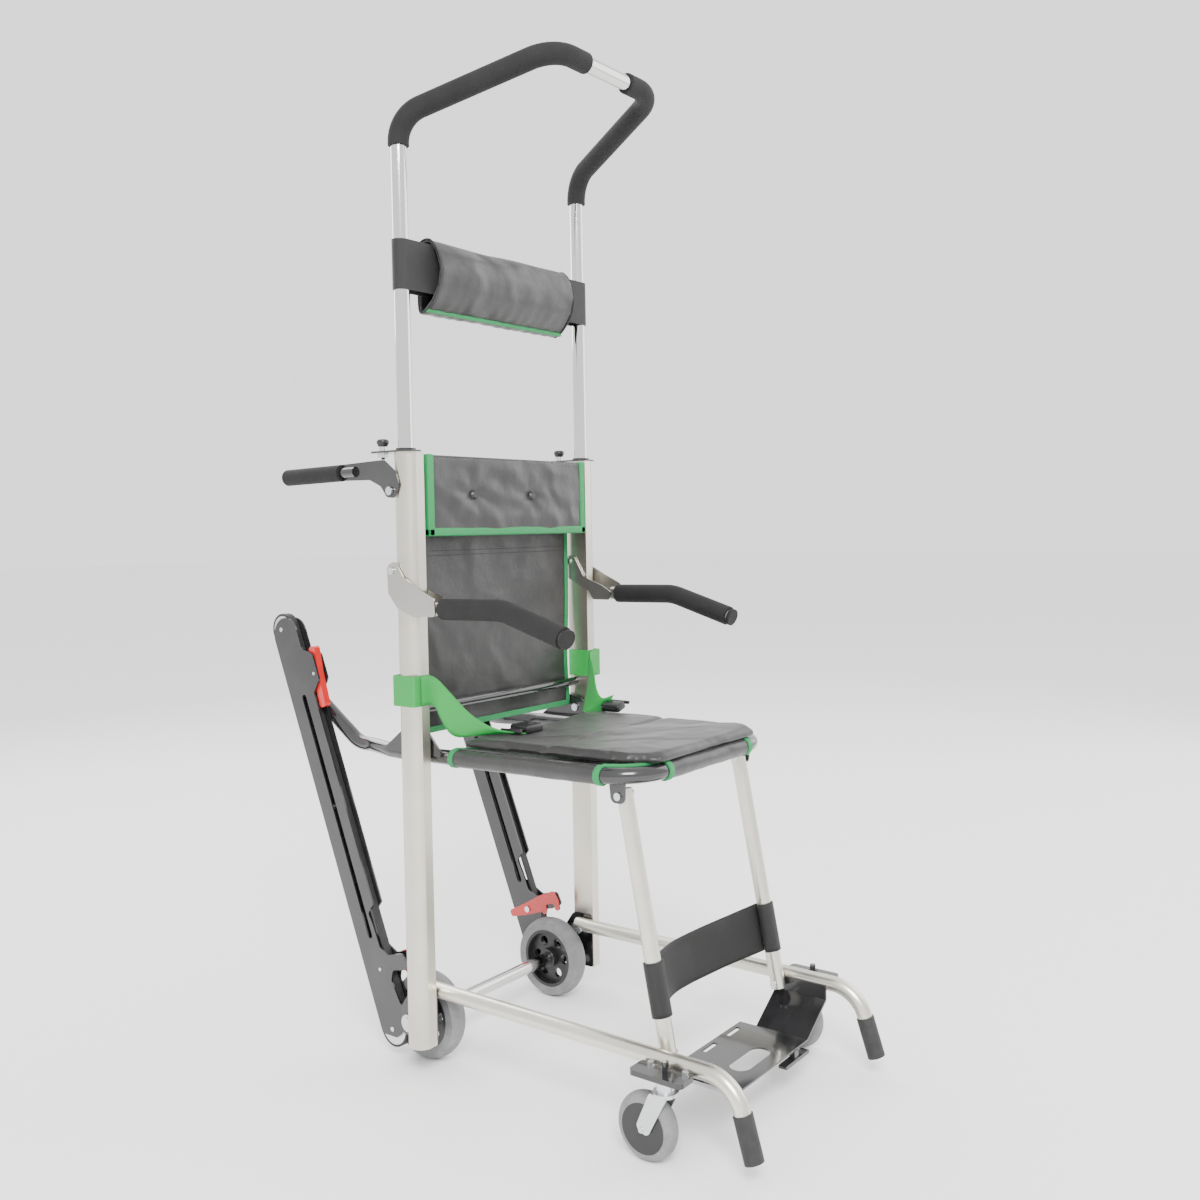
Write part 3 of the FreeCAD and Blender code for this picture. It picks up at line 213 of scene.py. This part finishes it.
def mouldedPlastic(name, colour, roughness, coat=0.0):
    material, tree, shader = newMaterial(name, colour, roughness=roughness, coat=coat)
    grain = addNoise(tree, objectCoords(tree), 700.0, 2)
    tone = addNoise(tree, objectCoords(tree), 20.0, 5)
    dark = tuple(part * 0.85 for part in colour)
    tree.links.new(addRamp(tree, tone, [(0.35, dark), (0.7, colour)]), shader.inputs["Base Color"])
    addBump(tree, shader, grain, 0.15, 0.0003)
    return material


def wornRubber(name, colour, roughness):
    material, tree, shader = newMaterial(name, colour, roughness=roughness)
    dust = addNoise(tree, objectCoords(tree), 45.0, 7, 0.7)
    light = tuple(min(1, part * 1.5 + 0.01) for part in colour)
    tree.links.new(addRamp(tree, dust, [(0.4, colour), (0.8, light)]), shader.inputs["Base Color"])
    addBump(tree, shader, dust, 0.25, 0.0006)
    return material


looks = {
    "frame_alloy": anodisedAlloy("champagne_upright", (0.66, 0.62, 0.54), (500, 500, 6)),
    "leg_alloy": anodisedAlloy("champagne_tube", (0.75, 0.72, 0.64), (260, 260, 260)),
    "black_steel": blackPaint("black_frame_paint", 0.16, 0.6),
    "track_black": blackPaint("black_track_paint", 0.2, 0.45),
    "polished_steel": polishedSteel("polished_post", (0.62, 0.62, 0.61), 0.06, 0.15),
    "zinc": polishedSteel("zinc_plate", (0.66, 0.67, 0.69), 0.2, 0.38),
    "silver_paint": anodisedAlloy("silver_frame_paint", (0.50, 0.49, 0.46), (40, 40, 40)),
    "foam": foamRubber("grip_foam"),
    "rubber_black": wornRubber("black_rubber", (0.014, 0.014, 0.014), 0.62),
    "black_plastic": mouldedPlastic("black_moulding", (0.016, 0.016, 0.017), 0.36),
    "tyre_grey": wornRubber("grey_tyre", (0.16, 0.16, 0.165), 0.6),
    "vinyl": coatedCloth("dark_coated_cloth", (0.021, 0.020, 0.020), 900.0, 0.33),
    "strap_black": webbing("black_strap", (0.009, 0.009, 0.009), 420.0),
    "belt_green": webbing("green_belt_web", (0.006, 0.42, 0.055), 420.0, 0.42),
    "red_plastic": mouldedPlastic("red_moulding", (0.62, 0.018, 0.014), 0.28, 0.4),
}
bindingGreen = webbing("green_binding", (0.004, 0.33, 0.085), 700.0)
threadGrey = mouldedPlastic("stitch_thread", (0.045, 0.042, 0.04), 0.7)
slotOf = {part["node"]: part["material_slot"] for part in frame["record"]["subparts"]}
for nodeName, node in nodes.items():
    node.data.materials.clear()
    node.data.materials.append(looks[slotOf[nodeName]])
print("materials ready")


def makePiece(name, mesh, material, body, smooth=True):
    piece = bpy.data.objects.new(name, mesh)
    bpy.context.scene.collection.objects.link(piece)
    mesh.materials.clear()
    mesh.materials.append(material)
    if smooth:
        mesh.polygons.foreach_set("use_smooth", [True] * len(mesh.polygons))
    if body:
        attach(piece, body)
    return piece


def meshFrom(bm, name):
    mesh = bpy.data.meshes.new(name)
    bm.to_mesh(mesh)
    bm.free()
    return mesh


def sheetMesh(name, columns, rows, place, thickness):
    bm = bmesh.new()
    bmesh.ops.create_grid(bm, x_segments=columns, y_segments=rows, size=0.5)
    for vert in bm.verts:
        vert.co = place(vert.co.x + 0.5, vert.co.y + 0.5)
    bmesh.ops.recalc_face_normals(bm, faces=bm.faces)
    if thickness:
        bmesh.ops.solidify(bm, geom=bm.faces[:], thickness=thickness)
        bmesh.ops.recalc_face_normals(bm, faces=bm.faces)
    return meshFrom(bm, name)


def tubeMesh(name, points, radius, closed=False, resolution=4, smooth=True):
    curve = bpy.data.curves.new(name, "CURVE")
    curve.dimensions = "3D"
    curve.bevel_depth = radius
    curve.bevel_resolution = resolution
    curve.use_fill_caps = True
    spline = curve.splines.new("NURBS" if smooth else "POLY")
    spline.points.add(len(points) - 1)
    for point, place in zip(spline.points, points):
        point.co = (*place, 1)
    spline.use_cyclic_u = closed
    if smooth:
        spline.order_u = 3
        spline.use_endpoint_u = not closed
        spline.resolution_u = 4
    holder = bpy.data.objects.new(name, curve)
    mesh = bpy.data.meshes.new_from_object(holder)
    bpy.data.objects.remove(holder)
    bpy.data.curves.remove(curve)
    return mesh


def joinMeshes(name, meshes):
    bm = bmesh.new()
    for mesh in meshes:
        bm.from_mesh(mesh)
        bpy.data.meshes.remove(mesh)
    return meshFrom(bm, name)


def discMesh(name, radius, depth, place, axis, segments=24, bevel=0.0006):
    bm = bmesh.new()
    turn = Vector((0, 0, 1)).rotation_difference(Vector(axis)).to_matrix().to_4x4()
    bmesh.ops.create_cone(bm, cap_ends=True, segments=segments, radius1=radius, radius2=radius,
                          depth=depth, matrix=Matrix.Translation(place) @ turn)
    rims = [edge for edge in bm.edges if len(edge.link_faces) == 2
            and edge.calc_face_angle(0) > 1.2]
    bmesh.ops.bevel(bm, geom=rims, offset=bevel, segments=2, profile=0.5, affect="EDGES", material=-1)
    return meshFrom(bm, name)


def boxMesh(name, size, place, bevel, turn=None):
    bm = bmesh.new()
    matrix = Matrix.Translation(place) @ (turn.to_4x4() if turn else Matrix())
    bmesh.ops.create_cube(bm, size=1, matrix=matrix @ Matrix.Diagonal((*size, 1)))
    bmesh.ops.bevel(bm, geom=bm.edges[:], offset=bevel, segments=3, profile=0.5,
                    affect="EDGES", material=-1)
    return meshFrom(bm, name)


def wrinkle(place, scale, seed):
    return noise.noise(Vector((place[0] * scale[0] + seed, place[1] * scale[1], place[2] * scale[2])))


def stitchRow(points, length=0.0032, radius=0.00055):
    made = []
    for before, after in zip(points[::2], points[1::2]):
        middle = (before + after) / 2
        along = (after - before).normalized() * (length / 2)
        ends = [middle - along, middle + along]
        made.append(tubeMesh("stitch", ends, radius, resolution=0, smooth=False))
    return made


def webStrip(name, path, widths, thickness=0.0016):
    columns = len(path) - 1

    def place(u, v):
        index = min(int(u * columns + 1e-6), columns - 1)
        part = u * columns - index
        centre = path[index].lerp(path[index + 1], part)
        across = widths[index].lerp(widths[index + 1], part)
        return centre + across * (v - 0.5)

    return sheetMesh(name, columns * 4, 6, place, thickness)


def flatBinding(line, across):
    # a folded tape: one layer in front of the cloth and one behind it
    layers = []
    for shift in (-0.0016, 0.0030):
        path = [point + Vector((0, shift, 0)) for point in line]
        layers.append(webStrip("binding", path, [across] * len(path), 0.001))
    return layers


def backSling():
    low, high = (Vector(corner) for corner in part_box("back_sling"))
    sling = {"nip": 0.018, "nipHeight": 0.66, "sway": 0.0016, "band": 0.010, "seam": 0.872,
             "inset": 0.0009, "cloth": 0.0014, "rowGap": 0.008}
    height = high.z - low.z

    def edge(z, side):
        pull = math.exp(-((z - sling["nipHeight"]) / 0.07) ** 2) * sling["nip"]
        return high.x - (pull if side < 0 else pull * 0.35) - 0.001

    def place(u, v):
        z = low.z + v * height
        x = -edge(z, -1) + u * (edge(z, -1) + edge(z, 1))
        slack = (1 - (2 * u - 1) ** 2)
        fold = wrinkle((x, 0, z), (9, 1, 4), 3.0) * 0.0024 + wrinkle((x, 0, z), (26, 1, 11), 8.0) * 0.001
        belly = sling["sway"] * slack * math.sin(math.pi * v)
        return Vector((x, low.y + sling["inset"] + fold * slack + belly, z))

    piece = makePiece("back_cloth", sheetMesh("back_cloth", 70, 80, place, sling["cloth"]),
                      looks["vinyl"], "frame")
    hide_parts("back_sling")
    trims = []
    band = sling["band"]
    for side, way in ((0.0, 1), (1.0, -1)):
        inward = Vector((way * (band / 2 - 0.001), 0, 0))
        edgeLine = [place(side, step / 24) + inward for step in range(25)]
        trims += flatBinding(edgeLine, Vector((band, 0, 0)))
    hem = [place(step / 20, 0.0) + Vector((0, 0, band / 2 - 0.001)) for step in range(21)]
    trims += flatBinding(hem, Vector((0, 0, band)))
    binding = makePiece("back_binding", joinMeshes("back_binding", trims), bindingGreen,
                        "frame")
    stitches = []
    for drop in (0.0, sling["rowGap"]):
        v = (sling["seam"] - drop - low.z) / height
        points = [place(0.02 + 0.96 * step / 150, v) + Vector((0, -0.0014, 0)) for step in range(151)]
        stitches += stitchRow(points)
    seam = makePiece("back_seam", joinMeshes("back_seam", stitches), threadGrey, "frame")


def puffed(name, half, depth, centre, edgeDepth, cells, seed, ripple):
    bm = bmesh.new()
    bmesh.ops.create_cube(bm, size=2)
    cuts = [edge for edge in bm.edges if abs((edge.verts[0].co - edge.verts[1].co).y) < 0.1]
    bmesh.ops.subdivide_edges(bm, edges=cuts, cuts=cells, use_grid_fill=True)
    for vert in bm.verts:
        u, side, v = vert.co
        crown = (1 - abs(u) ** 4) * (1 - abs(v) ** 4)
        thick = edgeDepth + (depth - edgeDepth) * crown ** 0.5
        wave = wrinkle((u, side, v), (3, 1, 2.2), seed) * ripple * crown
        vert.co = Vector((u * half.x, side * thick / 2 + wave, v * half.y))
    rims = [edge for edge in bm.edges if len(edge.link_faces) == 2 and edge.calc_face_angle(0) > 1.0]
    bmesh.ops.bevel(bm, geom=rims, offset=0.003, segments=2, profile=0.5, affect="EDGES", material=-1)
    bmesh.ops.translate(bm, verts=bm.verts, vec=centre)
    return meshFrom(bm, name)


def headrestFlap():
    low, high = (Vector(corner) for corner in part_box("headrest_cushion"))
    flap = {"edge": 0.012, "ripple": 0.004, "band": 0.014, "bandDeep": 0.021, "overhang": 0.001,
            "buttonHeight": 0.966, "dimple": 0.0035, "tuft": 0.0013}
    middle = (low + high) / 2
    half = Vector(((high.x - low.x) / 2 + 0.0015, (high.z - low.z) / 2))
    mesh = puffed("headrest_flap", half, high.y - low.y, middle, flap["edge"], 40, 5.0, flap["ripple"])
    piece = makePiece("headrest_flap", mesh, looks["vinyl"], "frame")
    for x in (-0.096, 0.05):  # the buttons pull the flap in round them
        button = Vector((x, low.y, flap["buttonHeight"]))
        for vert in piece.data.vertices:
            reach = math.hypot(vert.co.x - button.x, vert.co.z - button.z)
            if vert.co.y < middle.y:
                vert.co.y += flap["dimple"] * math.exp(-(reach / 0.018) ** 2)
                turn = math.atan2(vert.co.z - button.z, vert.co.x - button.x)
                spoke = math.exp(-((reach - 0.03) / 0.022) ** 2)
                vert.co.y += flap["tuft"] * math.cos(6 * turn + 1) * spoke
    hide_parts("headrest_cushion")
    band, deep, over = flap["band"], flap["bandDeep"], flap["overhang"]
    foot = middle - Vector((0, 0, half.y - band / 2 + over))
    edges = [boxMesh("edge", (2 * half.x + 2 * over, deep, band), foot, 0.003)]
    for side in (-1, 1):
        place = middle + Vector((side * (half.x - band / 2 + over), 0, 0))
        edges.append(boxMesh("edge", (band, deep, 2 * half.y + 2 * over), place, 0.003))
    piping = makePiece("headrest_piping", joinMeshes("headrest_piping", edges),
                       bindingGreen, "frame")
    print("flap binding", [round(size, 3) for size in piping.dimensions])


def headPad():
    low, high = (Vector(corner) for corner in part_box("head_pad"))
    profile = [(-0.014, 0.0), (-0.030, -0.020), (-0.038, -0.048), (-0.032, -0.078), (-0.014, -0.102),
               (0.006, -0.118), (0.020, -0.119), (0.021, -0.090), (0.021, -0.040), (0.019, -0.004),
               (0.008, 0.002), (-0.003, 0.003)]
    columns = 56
    bm = bmesh.new()
    loop = [bm.verts.new((low.x, uprightY + y, high.z - 0.003 + z)) for y, z in profile]
    edges = [bm.edges.new(pair) for pair in zip(loop, loop[1:] + loop[:1])]
    for _ in range(columns):
        grown = bmesh.ops.extrude_edge_only(bm, edges=edges)["geom"]
        edges = [item for item in grown if isinstance(item, bmesh.types.BMEdge)
                 and all(vert in grown for vert in item.verts)]
        moved = [item for item in grown if isinstance(item, bmesh.types.BMVert)]
        edges = [edge for edge in edges if abs(edge.verts[0].co.x - edge.verts[1].co.x) < 1e-6]
        bmesh.ops.translate(bm, verts=moved, vec=((high.x - low.x) / columns, 0, 0))
    bmesh.ops.subdivide_edges(bm, edges=[edge for edge in bm.edges
                                         if abs(edge.verts[0].co.x - edge.verts[1].co.x) < 1e-6],
                              cuts=2, use_grid_fill=False)
    bmesh.ops.smooth_vert(bm, verts=bm.verts, factor=0.5, use_axis_y=True, use_axis_z=True)
    bmesh.ops.recalc_face_normals(bm, faces=bm.faces)
    for vert in bm.verts:
        drop = (high.z - vert.co.z) / (high.z - low.z)
        phase = vert.co.x * 230 + 3 * wrinkle(vert.co, (14, 1, 1), 2.0)
        gather = math.sin(phase) * 0.0014 * max(0, drop - 0.55)
        bulge = wrinkle(vert.co, (11, 4, 14), 6.0) * 0.0026
        vert.co += vert.normal * (bulge + gather - 0.001)
    bmesh.ops.solidify(bm, geom=bm.faces[:], thickness=0.004)
    bmesh.ops.recalc_face_normals(bm, faces=bm.faces)
    piece = makePiece("head_pad_cover", meshFrom(bm, "head_pad_cover"), looks["vinyl"],
                      "head_rest")
    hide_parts("head_pad")
    keel = [Vector((low.x + (high.x - low.x) * step / 30,
                    uprightY + 0.001 + 0.001 * math.sin(step * 2.1),
                    low.z + 0.0035)) for step in range(31)]
    makePiece("head_pad_piping", tubeMesh("head_pad_piping", keel, 0.0036), bindingGreen,
              "head_rest")
    rims = []
    for x in (low.x, high.x):
        outline = [Vector((x, uprightY + y * 0.97, high.z - 0.003 + z * 0.985)) for y, z in profile]
        rims.append(tubeMesh("rim", outline, 0.0016, closed=True))
    makePiece("head_pad_rims", joinMeshes("head_pad_rims", rims), looks["strap_black"],
              "head_rest")


def seatSling():
    tubeX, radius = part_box("seat_sling")[1][0], 0.0125
    sling = {"sag": 0.034, "wrap": 0.0016, "sleeveEnd": -0.366, "rear": -0.062, "frontHalf": 0.112}
    front, rear = -0.430, sling["rear"]

    def tubeZ(y):
        return 0.531 + (0.06 - y) * 0.009 / 0.49

    def place(u, v):
        x = (2 * u - 1) * tubeX
        y = rear + (front - rear) * v
        side = 1 - (x / tubeX) ** 2
        ends = 1 - (2 * v - 1) ** 6
        cut = max(0.0, (abs(x) - sling["frontHalf"]) / (tubeX - sling["frontHalf"]))
        y = max(y, front + cut * (sling["sleeveEnd"] - front)) if v > 0.8 else y
        sag = sling["sag"] * side ** 1.2 * (0.55 + 0.45 * ends) * (1 - v ** 8)
        z = tubeZ(y) + radius + sling["wrap"] - sag
        fold = wrinkle((x, y, 0), (16, 7, 1), 4.0) * 0.0022 * side
        return at(x, y, z + fold)

    sleeves = []
    for side in (-1, 1):
        tip = sling["sleeveEnd"]
        ends = [at(side * tubeX, rear, tubeZ(rear)), at(side * tubeX, tip, tubeZ(tip))]
        dense = [ends[0].lerp(ends[1], step / 40) for step in range(41)]
        sleeves.append(tubeMesh("sleeve", dense, radius + sling["wrap"], resolution=6, smooth=False))
    wide = sling["frontHalf"]
    bar = [at(-wide + 2 * wide * step / 30, front, 0.54) for step in range(31)]
    sleeves.append(tubeMesh("sleeve", bar, radius + sling["wrap"], resolution=6, smooth=False))
    sleeveMesh = joinMeshes("seat_sleeves", sleeves)
    for vert in sleeveMesh.vertices:
        swell = wrinkle(vert.co, (60, 40, 60), 9.0) * 0.0008
        vert.co.z += swell - 0.0004
    sleevePiece = makePiece("seat_sleeves", sleeveMesh, looks["vinyl"], "seat")

    piece = makePiece("seat_cloth", sheetMesh("seat_cloth", 60, 60, place, 0.0014), looks["vinyl"],
                      "seat")
    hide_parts("seat_sling")
    rings = []
    for side in (-1, 1):
        for y in (sling["sleeveEnd"], rear):
            centre = at(side * tubeX, y, tubeZ(y))
            rings.append(discMesh("ring", radius + 0.0032, 0.010, centre, (0, 1, 0), 40))
        centre = at(side * sling["frontHalf"], front, 0.54)
        rings.append(discMesh("ring", radius + 0.0032, 0.010, centre, (1, 0, 0), 40))
        corner = [at(side * (tubeX - 0.004), sling["sleeveEnd"], 0.552),
                  at(side * 0.165, -0.395, 0.551), at(side * 0.14, -0.415, 0.5515),
                  at(side * sling["frontHalf"], front + 0.004, 0.5535)]
        rings.append(tubeMesh("corner", corner, 0.0038))
    rearEdge = [place(step / 30, 0.0) for step in range(31)]
    rings.append(tubeMesh("rearEdge", rearEdge, 0.0034))
    binding = makePiece("seat_binding", joinMeshes("seat_binding", rings), bindingGreen,
                        "seat")


def seatCushion():
    low, high = (Vector(corner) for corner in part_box("seat_cushion"))
    cushion = {"voxel": 0.006, "pressure": 2.5, "cap": 0.006, "cornerX": 0.055, "cornerY": 0.135,
               "crease": -0.235}
    outline = []
    for sx in (-1, 1):
        rearCorner = [Vector((sx * (high.x - 0.004), high.y - 0.004, 0))]
        front = [Vector((sx * (high.x - 0.004 - cushion["cornerX"] * (1 - math.cos(turn))),
                         low.y + 0.006 + cushion["cornerY"] * (1 - math.sin(turn)), 0))
                 for turn in (step * math.pi / 16 for step in range(9))]
        side = rearCorner + front
        outline += side if sx > 0 else side[::-1]
    bm = bmesh.new()
    face = bm.faces.new([bm.verts.new(point) for point in outline])
    grown = bmesh.ops.extrude_face_region(bm, geom=[face])["geom"]
    bmesh.ops.translate(bm, verts=[item for item in grown if isinstance(item, bmesh.types.BMVert)],
                        vec=(0, 0, 0.008))
    bmesh.ops.recalc_face_normals(bm, faces=bm.faces)
    slope = (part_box("seat_sling")[1][2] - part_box("seat_sling")[0][2] - 0.002) / (high.y - low.y)
    for vert in bm.verts:
        vert.co.z += low.z + 0.0015 + (high.y - vert.co.y) * slope
    piece = makePiece("seat_pad", meshFrom(bm, "seat_pad"), looks["vinyl"], None)
    bpy.context.view_layer.objects.active = piece
    remesh = piece.modifiers.new("remesh", "REMESH")
    remesh.mode = "VOXEL"
    remesh.voxel_size = cushion["voxel"]
    bpy.ops.object.select_all(action="DESELECT")
    piece.select_set(True)
    bpy.ops.object.modifier_apply(modifier=remesh.name)
    before = [vert.co.copy() for vert in piece.data.vertices]
    cloth = piece.modifiers.new("cloth", "CLOTH")
    cloth.settings.use_pressure = True
    cloth.settings.uniform_pressure_force = cushion["pressure"]
    cloth.settings.effector_weights.gravity = 0
    for step in range(1, 16):
        bpy.context.scene.frame_set(step)
    bpy.ops.object.modifier_apply(modifier=cloth.name)
    bpy.context.scene.frame_set(1)
    for vert, start in zip(piece.data.vertices, before):
        shift = vert.co - start
        if shift.length > cushion["cap"]:
            shift *= cushion["cap"] / shift.length
        vert.co = start + shift
        dip = math.exp(-((vert.co.y - uprightY - cushion["crease"]) / 0.006) ** 2) * 0.004
        tops = 1 if vert.normal.z > 0.3 else 0
        vert.co.z += tops * (wrinkle(vert.co, (9, 13, 1), 1.0) * 0.004 - dip)
        floor = low.z + (high.y - vert.co.y) * slope - 0.0005
        vert.co.z = max(vert.co.z, floor)
    smooth = piece.modifiers.new("smooth", "SUBSURF")
    smooth.levels = 1
    smooth.render_levels = 1
    piece.data.polygons.foreach_set("use_smooth", [True] * len(piece.data.polygons))
    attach(piece, "seat")
    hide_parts("seat_cushion")


def calfStrap():
    strap = {"height": 0.08, "radius": 0.0138, "bow": 0.042}
    hip = at(0, -0.390, 0.508)
    foot = at(0, -0.463, 0.132)
    up = (hip - foot).normalized()
    back = Vector((1, 0, 0)).cross(up) * -1
    legX = (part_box("legs")[1][0]) - 0.0125
    share = (0.185 - foot.z) / (hip.z - foot.z)
    base = foot.lerp(hip, share)

    def pathPoint(u):
        # once round each leg, with a slack bow behind the calves between them
        if u < 0.2:
            turn = math.pi / 2 + (0.2 - u) / 0.2 * math.pi * 1.6
            return -legX + strap["radius"] * math.cos(turn), strap["radius"] * math.sin(turn)
        if u > 0.8:
            turn = math.pi / 2 - (u - 0.8) / 0.2 * math.pi * 1.6
            return legX + strap["radius"] * math.cos(turn), strap["radius"] * math.sin(turn)
        across = (u - 0.2) / 0.6
        x = -legX + 2 * legX * across
        return x, strap["radius"] + strap["bow"] * math.sin(math.pi * across) ** 1.15

    def place(u, v):
        x, depth = pathPoint(u)
        slack = math.sin(math.pi * min(max((u - 0.2) / 0.6, 0), 1))
        depth += slack * (wrinkle((x, 0, v), (12, 1, 2), 4.0) * 0.006 + (0.5 - v) * 0.010)
        lift = -0.006 * slack
        return base + up * (strap["height"] * v + lift) + back * depth + Vector((x, 0, 0))

    mesh = sheetMesh("calf_band", 150, 12, place, 0.0018)
    piece = makePiece("calf_band", mesh, looks["strap_black"], "legs")
    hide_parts("calf_strap")


def smoothPath(points, times=2):
    for _ in range(times):
        grown = [points[0]]
        for before, after in zip(points, points[1:]):
            grown += [before.lerp(after, 0.25), before.lerp(after, 0.75)]
        points = grown + [points[-1]]
    return points


def lapBelt():
    belt = {"width": 0.048}
    loopLow, loopHigh = (Vector(corner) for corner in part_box("belt_loops"))
    front = loopLow.y - uprightY
    middle = (loopLow.z + loopHigh.z) / 2
    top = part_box("buckle_tongue")[0][2]
    webs = {
        "right": ([at(-0.226, front - 0.0012, middle), at(-0.198, front - 0.002, middle),
                   at(-0.186, front - 0.016, middle - 0.03), at(-0.168, front - 0.035, middle - 0.065),
                   at(-0.146, -0.088, top + 0.006), at(-0.112, -0.118, top + 0.004)],
                  [(0, 0, 1), (0, 0, 1), (0.25, -0.25, 0.93), (0.4, -0.6, 0.7),
                   (0.45, -0.86, 0.2), (0.5, -0.86, 0.0)]),
        "left": ([at(0.226, front - 0.0012, middle), at(0.2, front - 0.002, middle),
                  at(0.19, front - 0.014, middle - 0.025), at(0.166, front - 0.03, middle - 0.06),
                  at(0.15, -0.075, top + 0.010), at(0.168, -0.100, top + 0.010)],
                 [(0, 0, 1), (0, 0, 1), (0.2, -0.2, 0.95), (0.1, -0.6, 0.8),
                  (0.2, -0.8, 0.5), (0.1, -0.5, 0.86)]),
    }
    for name, (points, ways) in webs.items():
        path = smoothPath(points)
        widths = smoothPath([Vector(way).normalized() * belt["width"] for way in ways])
        piece = makePiece(f"belt_web_{name}_cloth", webStrip("web", path, widths), looks["belt_green"],
                          None)
        length = sum((after - before).length for before, after in zip(path, path[1:]))
        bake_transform(piece)
        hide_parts(f"belt_web_{name}")


def buckles():
    low, high = (Vector(corner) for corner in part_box("buckle_tongue"))
    middle = (low + high) / 2
    parts = [
        boxMesh("case", (0.040, 0.042, 0.014), middle + Vector((0.010, 0, 0)), 0.004),
        boxMesh("tongue", (0.026, 0.026, 0.004), middle + Vector((-0.018, 0, 0)), 0.0015),
        boxMesh("bar", (0.006, 0.046, 0.006), middle + Vector((-0.028, 0, 0)), 0.0024),
        boxMesh("button", (0.014, 0.018, 0.002), middle + Vector((0.012, 0, 0.0072)), 0.0009),
    ]
    piece = makePiece("buckle_case", joinMeshes("buckle_case", parts), looks["black_plastic"],
                      "seat")
    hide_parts("buckle_tongue")
    low, high = (Vector(corner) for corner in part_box("buckle_socket"))
    middle = (low + high) / 2
    turn = Matrix.Rotation(math.radians(-18), 3, "Y")
    parts = [
        boxMesh("case", (0.024, 0.042, 0.014), middle + turn @ Vector((-0.005, 0, 0)), 0.004, turn),
        boxMesh("neck", (0.012, 0.028, 0.005), middle + turn @ Vector((0.010, 0, 0)), 0.002, turn),
        boxMesh("bar", (0.006, 0.047, 0.006), middle + turn @ Vector((0.0148, 0, 0)), 0.0024, turn),
        boxMesh("slot", (0.004, 0.026, 0.005), middle + turn @ Vector((-0.0172, 0, 0)), 0.001, turn),
    ]
    piece = makePiece("buckle_latch", joinMeshes("buckle_latch", parts), looks["black_plastic"],
                      "seat")
    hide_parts("buckle_socket")


def studio():
    bm = bmesh.new()
    bmesh.ops.create_grid(bm, x_segments=1, y_segments=1, size=30)
    floor = bpy.data.objects.new("floor", meshFrom(bm, "floor"))
    bpy.context.scene.collection.objects.link(floor)
    material = newMaterial("pale_floor", (0.96, 0.96, 0.955), roughness=0.85)[0]
    floor.data.materials.append(material)

    world = bpy.data.worlds.new("studio")
    bpy.context.scene.world = world
    world.use_nodes = True
    backdrop = world.node_tree.nodes["Background"]
    backdrop.inputs["Color"].default_value = (1.0, 1.0, 1.0, 1)
    backdrop.inputs["Strength"].default_value = 1.7
    for name, place, size, power in (
        ("key", (-2.6, -2.4, 3.4), 1.6, 260),
        ("fill", (2.8, -1.4, 2.2), 3.0, 60),
        ("rim", (0.6, 3.0, 2.8), 2.4, 80),
    ):
        light = bpy.data.lights.new(name, "AREA")
        light.size = size
        light.energy = power
        lamp = bpy.data.objects.new(name, light)
        lamp.location = place
        lamp.rotation_euler = (Vector((0, 0, 0.8)) - Vector(place)).to_track_quat("-Z", "Y").to_euler()
        bpy.context.scene.collection.objects.link(lamp)


def camera():
    shot = {"azimuth": -55.009, "elevation": 2.385, "roll": -0.858, "lens": 35.2155,
            "place": (-1.5394, -1.4586, 0.9112), "shift": (-0.0650, -0.0225)}
    a, e, r = (math.radians(shot[key]) for key in ("azimuth", "elevation", "roll"))
    back = Vector((math.sin(a) * math.cos(e), -math.cos(a) * math.cos(e), math.sin(e)))
    right = Vector((math.cos(a), math.sin(a), 0))
    up = back.cross(right)
    rolledRight = right * math.cos(r) + up * math.sin(r)
    rolledUp = up * math.cos(r) - right * math.sin(r)
    data = bpy.data.cameras.new("camera")
    data.sensor_width = 36
    data.lens = shot["lens"]
    data.shift_x, data.shift_y = shot["shift"]
    view = bpy.data.objects.new("camera", data)
    turn = Matrix((rolledRight, rolledUp, back)).transposed()
    view.matrix_world = Matrix.Translation(at(*shot["place"])) @ turn.to_4x4()
    bpy.context.scene.collection.objects.link(view)
    bpy.context.scene.camera = view


studio()
camera()
print("stage ready")
backSling()
headrestFlap()
headPad()
print("back and head pad made")
seatSling()
seatCushion()
calfStrap()
print("seat made")
lapBelt()
buckles()
print("belt made")
